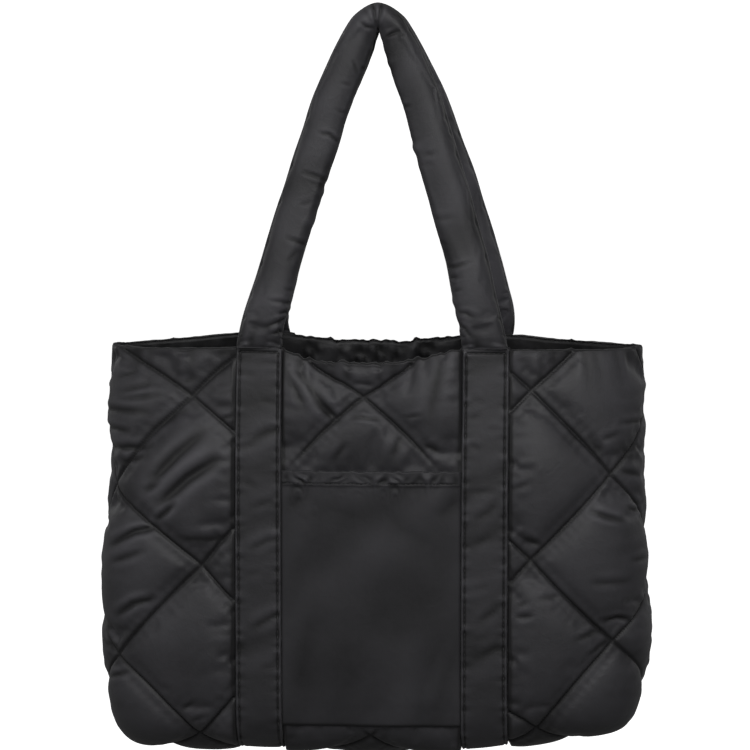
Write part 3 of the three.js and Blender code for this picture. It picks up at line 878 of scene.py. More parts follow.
def quiltedPanel(name, side, creases):
    downs = latticeStops(0, panelLength, quilting["pitchDown"], quilting["row"], quilting["cells"])
    acrosses = latticeStops(-seamReach, seamReach, quilting["pitchAcross"], quilting["column"], quilting["cells"])
    base, outward, downGrid, acrossGrid = quiltSurface(downs, acrosses, side)
    padding = paddingShare(downGrid, acrossGrid, side)
    flat = quilting["seat"] + (quilting["stitched"] / 2 - quilting["seat"]) * padding
    rising, falling = latticePlaces(downs, acrosses)
    toLine = np.minimum(np.abs(rising - np.round(rising)), np.abs(falling - np.round(falling))) * lineSpacing
    lined = toLine < quilting["onLine"]
    sewn = lined | (padding < 0.02)
    sewn[0], sewn[-1], sewn[:, 0], sewn[:, -1] = True, True, True, True
    start = startHeights(downs, acrosses, padding, flat)
    start[lined] -= (quilting["lineDepth"] * np.minimum(1, padding * 3))[lined]
    blown = base + outward * start[:, :, None]
    moved = np.zeros(blown.shape)
    moved = inflate(name, blown, sewn, dict(panelCloth, mirrored=side["facing"] < 0)) - blown
    print(name, "inflated")

    fineDowns, fineAcrosses = finerStops(downs, quilting["refine"]), finerStops(acrosses, quilting["refine"])
    base, outward, downGrid, acrossGrid = quiltSurface(fineDowns, fineAcrosses, side)
    padding = paddingShare(downGrid, acrossGrid, side)
    rising, falling = latticePlaces(fineDowns, fineAcrosses)
    flat = quilting["seat"] + (quilting["stitched"] / 2 - quilting["seat"]) * padding
    moved = finerGrid(moved, quilting["refine"])
    height = (moved * outward).sum(axis=2)
    aside = moved - outward * height[:, :, None]
    height += startHeights(fineDowns, fineAcrosses, padding, flat)
    shift = np.zeros(height.shape)
    valley = np.zeros(height.shape)
    wideValley = np.zeros(height.shape)
    onLine = np.zeros(height.shape, dtype=bool)
    for family, (place, along) in enumerate([(rising, falling), (falling, rising)]):
        number = np.round(place)
        distance = np.abs(place - number) * lineSpacing
        run, seed = along * lineSpacing, side["seed"] + family
        waves = ripple(run, quilting["puckerLength"], seed, number)
        waves = waves * np.clip(ripple(run, 110, seed + 50, number) + 0.4, 0.12, 1.3)
        shift += puckers(quilting["pucker"], distance, quilting["puckerReach"], waves)
        valley = np.maximum(valley, np.exp(-((distance / quilting["valleyWidth"]) ** 2)))
        uneven = 0.6 + 0.6 * ripple(run, 70, seed + 60, number)
        wideValley = np.maximum(wideValley, np.exp(-distance / panelShade["lineReach"]) * uneven)
        onLine |= distance < quilting["onLine"]
    fromSeam = seamReach - np.abs(acrossGrid)
    fromBand = np.maximum(bandDistance(acrossGrid), 0)
    seatSide = (np.sign(acrossGrid) + 1).astype(int)
    edges = [
        ("seam", fromSeam, downGrid, seatSide),
        ("band", fromBand, downGrid, seatSide),
        ("rim", downGrid, acrossGrid, 0),
    ]
    for number, (edge, distance, run, lane) in enumerate(edges):
        puckerHeight, reach, length = edgePuckers[edge]
        shift += puckers(puckerHeight, distance, reach, ripple(run, length, side["seed"] + 5 + number, lane))
    folds = creaseHeights(acrossGrid, downGrid, creases)
    shift = shift * (1 - valley) * smooth(padding * 2.5) + folds * (1 - valley) * smooth(padding * 4)
    height += shift
    padded = np.minimum(1, padding * 3)
    stitchedDown = onLine & (padding > 0.02)
    height[stitchedDown] = (flat - quilting["lineDepth"] * padded)[stitchedDown]
    aside[stitchedDown] = 0
    height[:, [0, -1]] = quilting["seamHeight"]
    height[-1, :] = quilting["seamHeight"]
    outer = base + aside + outward * height[:, :, None]
    inner = base + outward * innerHeights(downGrid, pillow(fineDowns, fineAcrosses))[:, :, None]
    inner[-1, :, 1] = base[-1, :, 1]

    # Painted shade: raised puckers and creases lighter, darker in the quilting valleys, beside the bands, at the rim,
    # round the foot and beside the quilting lines
    besideBand = np.exp(-((fromBand / 2) ** 2)) * np.ones_like(valley)
    paintedShading = np.clip(shift / 1.1, -1, 1) - np.maximum(valley * padded, besideBand)
    atRim = panelShade["rim"] * np.exp(-downGrid / panelShade["rimReach"])
    belowRim = panelShade["belowRim"] * np.exp(-downGrid / panelShade["belowRimReach"])
    atFoot = panelShade["foot"] * smooth((downGrid - panelShade["footFrom"]) / panelShade["footFade"])
    paintedShading -= atRim + belowRim + atFoot
    paintedShading -= panelShade["line"] * wideValley * padded
    rimRows = quilting["rimRows"]
    roll = rolledEdge(outer, inner, rimRows, 1.0)
    uvs = np.stack([acrossGrid, -downGrid], axis=2)
    rolledUvs = np.stack([uvs[0] + (0, 1.5 * (rimRows - n)) for n in range(rimRows)])
    panel = clothShell(
        name,
        np.concatenate([np.stack(roll), outer]),
        np.concatenate([np.repeat(inner[:1], rimRows, axis=0), inner]),
        np.concatenate([rolledUvs, uvs]),
        # the rolled rim is painted dark, as painted shade
        np.concatenate([np.full((rimRows, paintedShading.shape[1]), -1.2), paintedShading]),
        [materials["shell"], materials["lining"]],
        stride=5,
        mirrored=side["facing"] < 0,
    )
    lines = []
    for place in (rising, falling):
        for number in range(int(place.min()), int(place.max()) + 1):
            r, c = np.nonzero((np.abs(place - number) * lineSpacing < quilting["onLine"]) & (padding > 0.15))
            if len(r) < 3:
                continue
            order = np.argsort(r)
            points, ways = outer[r[order], c[order]], outward[r[order], c[order]]
            cuts = np.flatnonzero(np.linalg.norm(np.diff(points, axis=0), axis=1) > quilting["stitchGap"]) + 1
            lines += [pair for pair in zip(np.split(points, cuts), np.split(ways, cuts))]
    return panel, lines


def addPiece(piece, node):
    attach(piece, "root")
    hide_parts(*([node] if isinstance(node, str) else node))
    print(piece.name, "made with", len(piece.data.polygons), "faces")


quiltedFront, frontLines = quiltedPanel("quiltedFront", frontSide, panelCreases["front"])
addPiece(quiltedFront, "front_panel")
quiltedBack, backLines = quiltedPanel("quiltedBack", backSide, panelCreases["back"])
addPiece(quiltedBack, "back_panel")
stitchRows("frontQuiltStitches", frontLines)
stitchRows("backQuiltStitches", backLines)

# Bands

bandValues = {
    "thickness": 2,
    "stitchIn": 3,
    "valley": 1.1,
    "crown": 0.5,
    "pucker": 0.55,
    "puckerLength": 9,
    "puckerReach": 3,
    "wave": 0.22,
    "waveLength": 34,
    "valleyWidth": 0.85,
    "edgeRadius": 1.1,
    "step": 2.2,
    "topRow": 3.2,
}
bandHalf = bagShape["bandWidth"] / 2
bandStops = {  # from the middle to an edge, and from the rim down
    "half": (
        0, 1.6, 3.2, 4.8, 6.4, 8, 9.6, 11, 12.2, 13.2, 14, 14.7,
        15.3, 15.7, 16, 16.3, 16.7, 17.2, 17.8, 18.3, 18.7, 18.9, 19,
    ),
    "top": (0, 0.5, 1.2, 2, 2.8, 3.2, 3.6, 4.4, 5.4),
    "belowTop": 7,
}
bandCreases = {
    "frontLeft": [
        (0.5, 2, (-1, 13), (19, 11)), (0.35, 1.8, (-13, 22), (-2, 22)), (0.9, 3.4, (-5, 78), (7, 71), (19, 68)),
        (0.5, 2.4, (-14, 83), (-1, 80)), (0.6, 2.6, (-5, 132), (5, 128), (15, 125)),
        (0.8, 2.6, (-6, 166), (8, 159), (19, 158)), (1, 3, (-5, 232), (7, 225), (19, 219)),
        (0.35, 2.4, (-12, 188), (3, 185)), (0.35, 2.6, (3, 265), (18, 262)), (0.4, 2.6, (-11, 111), (0, 115)),
        (0.35, 2.2, (3, 44), (18, 46)),
    ],
    "frontRight": [
        (0.5, 2.2, (-14, 79), (-3, 83)), (0.7, 3.2, (-9, 141), (3, 134), (10, 126)),
        (0.4, 2.2, (-12, 118), (11, 117)), (0.35, 2.2, (-14, 58), (-4, 55)),
        (0.7, 3, (-5, 225), (5, 218), (13, 212)), (0.4, 2.4, (-12, 198), (5, 195)), (0.5, 3, (-3, 254), (15, 245)),
        (0.35, 2.2, (-13, 41), (0, 44)), (0.5, 3, (-10, 161), (6, 154)), (0.35, 2.4, (-8, 240), (3, 237)),
        (0.4, 2.2, (1, 67), (12, 66)),
    ],
    "backLeft": [
        (0.7, 3, (-14, 60), (4, 66), (15, 64)), (0.8, 3, (-10, 140), (8, 132)), (0.6, 2.6, (-4, 204), (14, 210)),
        (0.5, 2.4, (-12, 262), (6, 258)), (0.4, 2.2, (-10, 100), (2, 98)),
    ],
    "backRight": [
        (0.6, 3, (-14, 48), (4, 42)), (0.8, 3, (-6, 112), (14, 120)), (0.7, 3, (-12, 182), (4, 176), (15, 178)),
        (0.5, 2.4, (-4, 240), (12, 234)), (0.4, 2.2, (-12, 290), (4, 292)),
    ],
}


# A quarter circle over the last radius before an edge
def roundedEdge(distance, radius):
    return np.sqrt(np.clip(1 - (1 - np.minimum(distance, radius) / radius) ** 2, 0, 1))


def sewnBand(name, node, side, centre, creases, seed):
    half = np.array(bandStops["half"])
    offsets = np.concatenate([-half[:0:-1], half])
    below = np.linspace(bandStops["belowTop"], panelLength, int(panelLength / bandValues["step"]))
    downs = np.concatenate([bandStops["top"], below])
    base, outward = clothSurface(downs, centre + offsets, side)
    u, d = np.abs(offsets)[None, :], downs[:, None]
    edge = bandHalf - u
    stitchAt = bandHalf - bandValues["stitchIn"]
    rounded = roundedEdge(edge, bandValues["edgeRadius"])
    far = 9
    toStitch = np.where(d > bandValues["topRow"], np.abs(u - stitchAt), far)
    toTop = np.where(u < stitchAt, np.abs(d - bandValues["topRow"]), far)
    valleys = (np.exp(-((distance / bandValues["valleyWidth"]) ** 2)) for distance in (toStitch, toTop))
    valley = np.maximum(*valleys)
    crown = bandValues["crown"] * np.clip(1 - (u / stitchAt) ** 2, 0, 1)
    sideNumber = (np.sign(offsets)[None, :] + 1).astype(int)
    waves = ripple(d, bandValues["puckerLength"], seed, sideNumber)
    gathers = bandValues["pucker"] * np.exp(-np.abs(u - stitchAt) / bandValues["puckerReach"]) * waves
    wide = bandValues["wave"] * ripple(d + 0.4 * offsets[None, :], bandValues["waveLength"], seed + 1)
    offsetGrid, downGrid = np.broadcast_to(offsets[None, :], valley.shape), np.broadcast_to(d, valley.shape)
    folds = creaseHeights(offsetGrid, downGrid, creases)
    shift = (gathers + wide + folds) * smooth(edge / 1.2) * smooth(d / 4)
    seat = quilting["seat"] + sewnGap
    height = seat + 0.15 + rounded * (bandValues["thickness"] + 0.35 + crown - bandValues["valley"] * valley + shift)
    outer = base + outward * height[:, :, None]
    inner = base + outward * seat
    # Painted shade: raised cloth lighter, stitch valleys and creases darker, and a lighter line close to each edge
    paintedShading = np.clip(shift / 0.8, -1, 1) - valley + 0.5 * np.exp(-((edge - 1) ** 2))
    uvs = np.stack([offsetGrid + centre, -downGrid], axis=2)
    roll = rolledEdge(outer, inner, 2, 0.5)
    outerAll = np.concatenate([np.stack(roll), outer])
    band = clothShell(
        name,
        outerAll,
        np.concatenate([np.repeat(inner[:1], 2, axis=0), inner]),
        np.concatenate([np.repeat(uvs[:1], 2, axis=0), uvs]),
        np.concatenate([np.zeros((2, paintedShading.shape[1])), paintedShading]),
        [materials["band_cloth"]],
        stride=4,
        mirrored=side["facing"] < 0,
    )
    addPiece(band, node)
    topRow = int(np.argmin(np.abs(downs - bandValues["topRow"])))
    lines = []
    for sign in (-1, 1):
        column = int(np.argmin(np.abs(offsets - sign * stitchAt)))
        lines.append((outer[topRow:, column], outward[topRow:, column]))
    columns = np.flatnonzero(np.abs(offsets) <= stitchAt)
    lines.append((outer[topRow, columns], outward[topRow, columns]))
    return band, lines


bandPlaces = [
    ("frontLeft", "front_left_band", frontSide, -1),
    ("frontRight", "front_right_band", frontSide, 1),
    ("backLeft", "back_left_band", backSide, -1),
    ("backRight", "back_right_band", backSide, 1),
]
for number, (title, node, side, sign) in enumerate(bandPlaces):
    centre = sign * bagShape["bandSpacing"] / 2
    band, lines = sewnBand(title + "Band", node, side, centre, bandCreases[title], 20 + 3 * number)
    stitches = stitchRows(title + "BandStitches", lines)

# Pocket

pocketCreases = [
    (0.7, 9, (38, 310), (42, 281), (58, 239)), (0.7, 8, (51, 310), (62, 272), (72, 247)),
    (0.45, 10, (-61, 290), (-55, 248), (-50, 215)), (0.9, 7, (54, 140), (67, 128), (75, 123)),
    (0.8, 12, (8, 128), (24, 148), (49, 160)), (0.7, 12, (-58, 141), (-33, 132), (-8, 140)),
    (0.8, 5, (-58, 121), (-66, 133)), (0.3, 10, (-33, 306), (-17, 273), (-21, 240)),
]


hemStops = np.array([0, 0.5, 1.1, 1.8, 2.4, 2.9, 3.5, 4.3, 5.3, 6.3, 7.3, 8.1, 8.7, 9.2, 9.8, 10.5, 11.2, 12])
belowHem = 13.4
pocketGathers = {
    "height": 1.1,
    "row": 6.5,  # where the hem's own gathers are highest
    "length": 10,
    "lean": 1.6,
    "below": 0.5,
    "belowReach": 7,
    "edgeFade": 5,
    "mouthWave": 0.5,
    "mouthWaveReach": 12,
    "fold": 0.4,
    "foldLength": 60,
}


def slipPocket(name, creases):
    reach = bandReach - sewnGap
    top, length = pocketShape["top"], pocketShape["length"]
    acrosses = np.linspace(-reach, reach, int(2 * reach / pocketShape["step"]))
    below = np.linspace(belowHem, length, int((length - belowHem) / pocketShape["step"]))
    downs = top + np.concatenate([hemStops, below])
    base, outward = clothSurface(downs, acrosses, frontSide)
    a, d = acrosses[None, :], (downs - top)[:, None]
    fromEdge = reach - np.abs(a)
    toFoot = smooth((length - d) / (pocketShape["footShare"] * length))
    bulge = pocketShape["bulge"] * (1 - (a / reach) ** pocketShape["squareness"]) * toFoot
    hem = smooth((pocketShape["hemLength"] + 0.8 - d) / 1.6)
    stitched = np.exp(-(((d - pocketShape["stitchRow"]) / 0.8) ** 2)) * (0.7 + 0.4 * ripple(a, 23, 48))
    tucks = np.clip(ripple(a, 40, 41) + 0.8, 0.4, 1.5)
    tuckRows = 0.15 + np.exp(-(((d - pocketGathers["row"] - 1.5 * ripple(a, 19, 42)) / 3) ** 2))
    hanging = np.exp(-np.maximum(d - pocketShape["hemLength"], 0) / pocketGathers["belowReach"])
    gathers = tucks * (pocketGathers["height"] * tuckRows * hem + pocketGathers["below"] * hanging * (1 - hem))
    gathers = gathers * ripple(a + pocketGathers["lean"] * (d - 6) * ripple(a, 27, 43), pocketGathers["length"], 40)
    gathers = gathers * smooth(fromEdge / pocketGathers["edgeFade"])
    acrossGrid, downGrid = np.broadcast_to(a, gathers.shape), np.broadcast_to(d + top, gathers.shape)
    wide = pocketGathers["fold"] * ripple(a * 0.6 + d * 0.8, pocketGathers["foldLength"], 44)
    folds = creaseHeights(acrossGrid, downGrid, creases) + wide * smooth(fromEdge / 20) * smooth(d / 20)
    shift = gathers + folds
    seat = quilting["seat"] + sewnGap
    edge = roundedEdge(fromEdge + 0.2, 1.2)
    cloth = pocketShape["thickness"] * (1 - hem) + pocketShape["hemThickness"] * hem
    height = seat + np.maximum(bulge + shift, 0) + 0.2 + cloth * edge - 0.8 * stitched
    outer = base + outward * height[:, :, None]
    inner = base + outward * (seat + np.maximum(bulge + shift - 0.3, 0) * smooth(fromEdge / 4))[:, :, None]
    for grid in (outer, inner):
        grid[:, :, 2] += pocketGathers["mouthWave"] * ripple(a, 9, 47) * np.exp(-d / pocketGathers["mouthWaveReach"])
    # Painted shade: the hem's stitch row and a strip along the pocket's foot are darker, raised cloth lighter
    underFoot = 1.2 * smooth((d - length + 2.2) / 1.6) * np.ones_like(shift)
    paintedShading = 0.1 + np.clip(shift / 1.2, -1, 1) - stitched - underFoot
    uvs = np.stack([acrossGrid, -downGrid], axis=2)
    roll = rolledEdge(outer, inner, 3, 0.8)
    pocket = clothShell(
        name,
        np.concatenate([np.stack(roll), outer]),
        np.concatenate([np.repeat(inner[:1], 3, axis=0), inner]),
        np.concatenate([np.repeat(uvs[:1], 3, axis=0), uvs]),
        np.concatenate([np.zeros((3, paintedShading.shape[1])), paintedShading]),
        [materials["pocket_cloth"]],
        stride=3,
    )
    addPiece(pocket, "front_pocket")
    row = int(np.argmin(np.abs(downs - top - pocketShape["stitchRow"])))
    inside = np.flatnonzero(np.abs(acrosses) < reach - 2)
    return pocket, [(outer[row, inside], outward[row, inside])]


frontPocket, pocketLines = slipPocket("frontPocket", pocketCreases)
pocketStitches = stitchRows("pocketHemStitches", pocketLines, pitch=3.6)

# Facing inside the mouth

facingValues = {"depth": 38, "thickness": 1.5, "gather": 4.2, "gatherLength": 13, "cells": 20, "step": 2.2}


def mouthRing(name):
    acrosses = latticeStops(-seamReach, seamReach, quilting["pitchAcross"], quilting["column"], facingValues["cells"])
    downs = np.linspace(0, facingValues["depth"], int(facingValues["depth"] / facingValues["step"]))
    layers, depths = [], []
    for thickness in (0, facingValues["thickness"]):
        halves = []
        for side in (frontSide, backSide):
            base, outward = clothSurface(downs, acrosses, side)
            a, d = acrosses[None, :], downs[:, None]
            middle = smooth((bandReach + 12 - np.abs(a)) / 30)
            waves = ripple(a + 0.3 * d, facingValues["gatherLength"], side["seed"] + 60)
            gathers = (0.3 + 0.7 * middle) * facingValues["gather"] * (1 - np.abs(np.clip(waves, -1, 1)) ** 0.7)
            gathers = gathers * smooth((seamReach - np.abs(a)) / 25)
            inward = quilting["stitched"] / 2 + sewnGap + thickness + gathers * (0.35 + 0.65 * smooth(d / 6))
            points = base - outward * inward[:, :, None]
            points[:, :, 2] -= 0.5
            halves.append(points if side is frontSide else points[:, ::-1])
            depths.append(gathers if side is frontSide else gathers[:, ::-1])
        layers.append(np.concatenate(halves, axis=1))
    # Painted shade: the gathers' raised cloth is lighter and the folds between them darker
    folds = (np.concatenate(depths[:2], axis=1) / facingValues["gather"] * 2 - 0.9).ravel()
    outer, inner = layers
    rows, columns = outer.shape[:2]
    start = rows * columns
    faces = gridQuads(rows, columns, closed=True)
    faces += [face[::-1] for face in gridQuads(rows, columns, start, closed=True)]
    for c in range(columns):
        after = (c + 1) % columns
        faces.append((c, after, start + after, start + c))
        last = (rows - 1) * columns
        faces.append((start + last + c, start + last + after, last + after, last + c))
    perimeter = np.concatenate([acrosses, acrosses + 2 * seamReach])
    uvs = np.stack(np.broadcast_arrays(perimeter[None, :], -downs[:, None]), axis=2)
    points, maps, heights = (np.concatenate(pair) for pair in ((outer, inner), (uvs, uvs), (folds, folds)))
    ring = newObject(name, points, faces, [materials["facing"]], maps, heights)
    addPiece(ring, "mouth_facing")
    return ring


mouthFacing = mouthRing("mouthFacing")

# Stuffed straps

strapValues = {
    "width": 30,
    "thickness": 26,
    "lean": 10,  # of the back strap's right leg, outward
    "leftLean": 5,  # of its left leg, inward
    "leftShift": 1.2,  # of the front strap's left leg, inward
    "rightShift": 1.6,  # of its right leg, inward at the foot and outward higher up
    "leftWiden": 2.4,  # of the front strap's legs
    "rightWiden": 4,
    "roundness": 0.85,  # 1 is a plain oval
    "radius": 14,  # turns angles round it into distances
    "ringsPerRow": 12,
    "sides": 44,
    "startSize": 0.98,
    "baseGather": 0.5,
    "innerPucker": 0.4,
    "seamRidge": 0.55,
    "wave": 0.3,
    "waveLength": 60,
    "backStrapPaintedLight": 0.5,  # painted light on the back strap, which the front strap shades
}
strapCloth = {
    "quality": 5,
    "mass": 0.3,
    "stretch": 15,
    "shear": 5,
    "bending": 20,
    "pressure": 12,
    "slack": 0.006,
    "frames": 12,
    "cap": 1.2,
}
legRows = np.array([  # rise, spread, width, thickness, lean, tilt
    (0, 1, 1.22, 0.3, 0.3, 0),
    (0.035, 0.978, 1.18, 0.6, 0.65, 6),
    (0.078, 0.948, 1.13, 0.82, 0.9, 12),
    (0.139, 0.899, 1.08, 0.95, 1, 15),
    (0.259, 0.809, 1.02, 1, 1, 17),
    (0.44, 0.66, 1, 1, 0.95, 18),
    (0.62, 0.5, 1, 1, 0.7, 19),
    (0.741, 0.4, 1, 1, 0.4, 21),
    (0.861, 0.262, 0.99, 1, 0.1, 26),
    (0.922, 0.186, 0.92, 0.97, 0, 35),
    (0.966, 0.122, 0.83, 0.93, 0, 52),
])
foldRow = np.array((1, 0, 0.72, 0.88, 0, 90))
strapCreases = {  # along a strap from its left foot, and round it from its outer edge
    "front": [
        (0.9, 1.3, (279, 17), (281, 23), (287, 31)), (0.9, 1.3, (311, 32), (313, 25), (316, 20)),
        (0.81, 1.5, (247, 35), (251, 43)), (1.17, 1.36, (184, 21), (186, 27), (182, 39)),
        (1.17, 1.36, (150, 18), (150, 26), (150, 41)), (1.08, 1.5, (94, 21), (94, 28), (94, 40)),
        (0.45, 1.22, (229, 23), (231, 32)), (0.72, 1.36, (373, 43), (376, 30)), (0.54, 1.63, (418, 29), (420, 22)),
        (0.45, 1.63, (425, 37), (427, 26)), (0.54, 1.9, (470, 38), (475, 22)), (0.72, 1.36, (488, 43), (493, 33)),
        (0.99, 1.36, (512, 39), (514, 27), (514, 20)), (0.81, 1.36, (521, 38), (523, 27)),
        (0.9, 1.63, (551, 35), (553, 28), (559, 23)), (0.99, 1.63, (562, 36), (566, 31), (575, 28)),
        (0.63, 1.5, (533, 35), (533, 27)), (1.08, 1.77, (19, 23), (25, 30), (32, 42)),
        (0.9, 1.5, (41, 22), (43, 30), (43, 43)), (1.08, 1.5, (33, 29), (35, 36), (34, 43)),
        (1.17, 1.63, (14, 28), (17, 35), (16, 43)), (0.63, 1.36, (54, 29), (54, 41)),
        (0.45, 1.36, (207, 26), (207, 39)), (0.54, 1.36, (250, 25), (241, 34)), (0.45, 1.5, (124, 23), (129, 31)),
        (0.45, 2.04, (75, 25), (87, 31)), (1.5, 1.3, (291, 1), (292, 17), (292, 31)),
        (1.3, 1.3, (296, 2), (296, 20), (295, 31)), (0.54, 1.36, (305, 6), (313, 8)),
        (0.45, 1.36, (286, 4), (286, 17)),
    ],
    "back": [
        (1.35, 1.5, (280, 20), (283, 30), (286, 44)), (1.26, 1.5, (308, 44), (310, 30), (314, 18)),
        (1.08, 1.5, (60, 24), (64, 40)), (0.99, 1.5, (118, 20), (120, 40)), (0.72, 1.36, (171, 26), (173, 42)),
        (0.63, 1.63, (226, 22), (228, 36)), (0.81, 1.36, (362, 42), (364, 26)), (1.08, 1.5, (405, 44), (408, 22)),
        (0.72, 1.5, (452, 40), (456, 24)), (0.99, 1.5, (500, 42), (503, 24)), (1.08, 1.63, (30, 24), (34, 42)),
        (1.26, 1.63, (18, 26), (22, 44)), (1.17, 1.63, (558, 42), (562, 24)), (1.26, 1.63, (572, 40), (577, 26)),
        (1.08, 1.22, (291, 2), (292, 18), (293, 34)),
    ],
}


def strapStations(side):
    top, outward = clothSurface([0], [bagShape["bandSpacing"] / 2], side)
    top = (top + outward * (quilting["seat"] + sewnGap + bandValues["thickness"]))[0, 0]
    foot = (abs(top[1]) - bandValues["thickness"] / 2, top[2] + sewnGap)
    fold = (foldRow[3] * strapValues["thickness"] / 2 + sewnGap, foldRow[2] * strapValues["width"] / 2)
    stations = []
    for leg, rows in ((-1, legRows), (0, foldRow[None]), (1, legRows[::-1])):
        for rise, spread, width, thickness, lean, tilt in rows:
            widen = 0
            if side is backSide:
                lean = lean * strapValues["leftLean" if leg < 0 else "lean"]
            else:
                widen = lean * strapValues["leftWiden" if leg < 0 else "rightWiden"] * abs(leg)
                rightShift = strapValues["rightShift"] * min(1, 8 * rise - 1) * leg
                lean = lean * (strapValues["leftShift"] if leg < 0 else rightShift)
            x = leg * (spread * bagShape["bandSpacing"] / 2 + lean) - bagShape["hookOffset"] * (1 - rise)
            y = -side["facing"] * (foot[0] + (fold[0] - foot[0]) * rise)
            z = foot[1] + (fold[1] - foot[1]) * rise
            size = (width * strapValues["width"] + widen, thickness * strapValues["thickness"])
            stations.append((x, y, z, *size, 180 - tilt if leg < 0 else tilt))
    return np.array(stations)


def stuffedStrap(name, node, side, creases):
    stations = strapStations(side)
    places = np.linspace(0, len(stations) - 1, (len(stations) - 1) * strapValues["ringsPerRow"] + 1)
    middles = catmullRom(stations[:, :3], places)
    sizes = catmullRom(stations[:, 3:], places)
    tilt = np.radians(sizes[:, 2])
    outwardWay = np.stack([np.cos(tilt), np.zeros(len(tilt)), np.sin(tilt)], axis=1)
    sides, scale = strapValues["sides"], strapValues["startSize"]
    angle = 2 * np.pi * (np.arange(sides) + 0.5) / sides
    parts = (np.cos(angle)[None, :], np.sin(angle)[None, :])
    wide, deep = (np.sign(part) * np.abs(part) ** strapValues["roundness"] for part in parts)
    wide = sizes[:, :1] / 2 * scale * wide
    deep = sizes[:, 1:2] / 2 * scale * deep
    grid = middles[:, None, :] + outwardWay[:, None, :] * wide[:, :, None]
    grid[:, :, 1] -= deep
    sewn = np.zeros(grid.shape[:2], dtype=bool)
    sewn[:2], sewn[-2:] = True, True
    sewn[:, [0, -1]] = True  # the seam runs along the outer edge
    grid = inflate(name, grid, sewn, strapCloth, closed=True)
    along = lengthsAlong(middles)
    fine = finerGrid(grid, 2, closed=True)
    along = np.interp(np.arange(fine.shape[0]) / 2, np.arange(len(along)), along)
    round2 = 2 * sides
    angle = np.arange(round2) * 2 * np.pi / round2 + np.pi / sides
    centre = fine.mean(axis=1, keepdims=True)
    forward = np.gradient(centre[:, 0], axis=0)[:, None, :]
    around = np.roll(fine, -1, axis=1) - np.roll(fine, 1, axis=1)
    normal = np.cross(around, np.broadcast_to(forward, around.shape))
    normal /= np.linalg.norm(normal, axis=2, keepdims=True) + 1e-12
    normal *= np.sign(((fine - centre) * normal).sum(axis=2).mean())
    s, t = along[:, None], angle[None, :]
    toEnd = np.minimum(s, along[-1] - s)
    inner = np.exp(-(((t - np.pi) / 0.9) ** 2))
    clusters = np.clip(ripple(s, 70, side["seed"] + 33), 0.1, 1.2)
    shift = strapValues["innerPucker"] * inner * clusters * ripple(s, 13, side["seed"] + 30)
    atBase = np.exp(-toEnd / 14) * smooth(toEnd / 3)
    legNumber = (s > along[-1] / 2).astype(int)
    waves = ripple(t * strapValues["radius"], 9, side["seed"] + 31, legNumber)
    shift = shift + strapValues["baseGather"] * atBase * waves
    shift = shift + strapValues["wave"] * ripple(s + 9 * np.cos(t), strapValues["waveLength"], side["seed"] + 32)
    turned = np.minimum(t, 2 * np.pi - t) * strapValues["radius"]  # distance from the seam
    ridge = np.exp(-((turned / 1.1) ** 2)) - 0.9 * np.exp(-(((turned - 3) / 1.5) ** 2))
    shift = shift + strapValues["seamRidge"] * ridge
    alongGrid = np.broadcast_to(s, shift.shape)
    roundGrid = np.broadcast_to(t * strapValues["radius"], shift.shape)
    shift = shift + creaseHeights(alongGrid, roundGrid, creases)
    shift *= smooth(toEnd / 2)
    fine = fine + normal * shift[:, :, None]
    uvs = np.stack([roundGrid, alongGrid], axis=2)
    rows, columns = fine.shape[:2]
    faces = [face[::-1] for face in gridQuads(rows, columns, closed=True)]
    points = np.concatenate([fine.reshape(-1, 3), fine[[0, -1]].mean(axis=1)])
    caps = rows * columns
    faces += [(caps, n, (n + 1) % columns) for n in range(columns)]
    last = (rows - 1) * columns
    faces += [(caps + 1, last + (n + 1) % columns, last + n) for n in range(columns)]
    maps = np.concatenate([uvs.reshape(-1, 2), [[0, 0], [0, along[-1]]]])
    paintedLight = strapValues["backStrapPaintedLight"] if side is backSide else 0
    # Painted shade: raised cloth lighter, creases darker and darker along the seam; painted light on the back strap
    paintedShading = np.clip(shift, -1, 1) - 0.5 * np.exp(-((turned / 6) ** 2)) + paintedLight
    paintedShading = np.concatenate([paintedShading.ravel(), [0, 0]])
    strap = newObject(name, points, faces, [materials["shell"]], maps, paintedShading)
    addPiece(strap, node)
    return strap


frontStrap = stuffedStrap("frontStrap", "front_strap", frontSide, strapCreases["front"])
backStrap = stuffedStrap("backStrap", "back_strap", backSide, strapCreases["back"])

# Floor and light

studio = {
    "floorHeight": -0.95,
    "floorSize": 24,
    "worldStrength": 0.14,
    "floorGlow": 0.9,
    "domeRadius": 12,
    "domeGlow": 1.0,
}
lampValues = [  # name, place, what it points at, size, power
    ("frontLamp", (0.5, -3.0, 1.9), (0, 0, -0.3), 3.0, 112),
    ("leftLamp", (-2.2, -2.0, 0.6), (0, 0, -0.3), 1.6, 20),
    ("rightLamp", (2.2, -2.2, 0.5), (0, 0, -0.3), 1.6, 6),
    ("backLeftLamp", (-2.6, 1.8, 0.9), (0, 0, -0.3), 2.0, 12),
    ("backRightLamp", (2.6, 1.8, 0.8), (0, 0, -0.3), 2.0, 10),
]


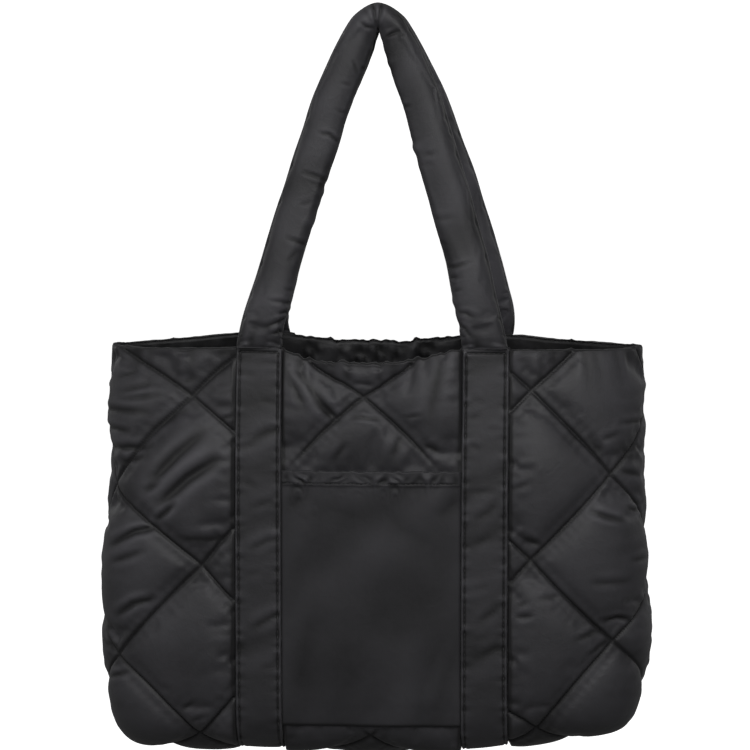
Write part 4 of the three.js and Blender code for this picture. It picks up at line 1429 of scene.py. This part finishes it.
def plainStudio(values):
    bpy.ops.object.select_all(action="DESELECT")
    bpy.ops.mesh.primitive_plane_add(size=values["floorSize"], location=(0, 0, values["floorHeight"]))
    floor = bpy.context.object
    floor.name = "studioFloor"
    bpy.ops.object.transform_apply(location=True)
    material = bpy.data.materials.new("paleFloor")
    material.use_nodes = True
    shader = material.node_tree.nodes["Principled BSDF"]
    shader.inputs["Base Color"].default_value = (0.9, 0.9, 0.9, 1)
    shader.inputs["Roughness"].default_value = 0.9
    shader.inputs["Emission Color"].default_value = (1, 1, 1, 1)
    shader.inputs["Emission Strength"].default_value = values["floorGlow"]
    floor.data.materials.append(material)
    bpy.ops.mesh.primitive_uv_sphere_add(segments=48, ring_count=24, radius=values["domeRadius"])
    dome = bpy.context.object
    dome.name = "studioDome"
    glow = bpy.data.materials.new("paleDome")
    glow.use_nodes = True
    shader = glow.node_tree.nodes["Principled BSDF"]
    shader.inputs["Base Color"].default_value = (0.9, 0.9, 0.9, 1)
    shader.inputs["Roughness"].default_value = 0.9
    shader.inputs["Emission Color"].default_value = (1, 1, 1, 1)
    shader.inputs["Emission Strength"].default_value = values["domeGlow"]
    dome.data.materials.append(glow)
    for backdrop in (floor, dome):  # white behind the bag, and no light on it
        backdrop.visible_diffuse = backdrop.visible_glossy = backdrop.visible_shadow = False
    bpy.context.scene.view_settings.view_transform = "Standard"
    world = bpy.context.scene.world or bpy.data.worlds.new("studioWorld")
    bpy.context.scene.world = world
    world.use_nodes = True
    background = world.node_tree.nodes["Background"]
    background.inputs["Color"].default_value = (1, 1, 1, 1)
    background.inputs["Strength"].default_value = values["worldStrength"]


def softLamp(name, place, target, size, power):
    way = np.array(target, float) - np.array(place, float)
    pitch = math.acos(-way[2] / np.linalg.norm(way))
    bpy.ops.object.light_add(type="AREA", location=place, rotation=(pitch, 0, math.atan2(way[1], way[0]) - math.pi / 2))
    lamp = bpy.context.object
    lamp.name = name
    lamp.data.shape = "DISK"
    lamp.data.size = size
    lamp.data.energy = power


plainStudio(studio)
for lamp in lampValues:
    softLamp(*lamp)
print("studio made")
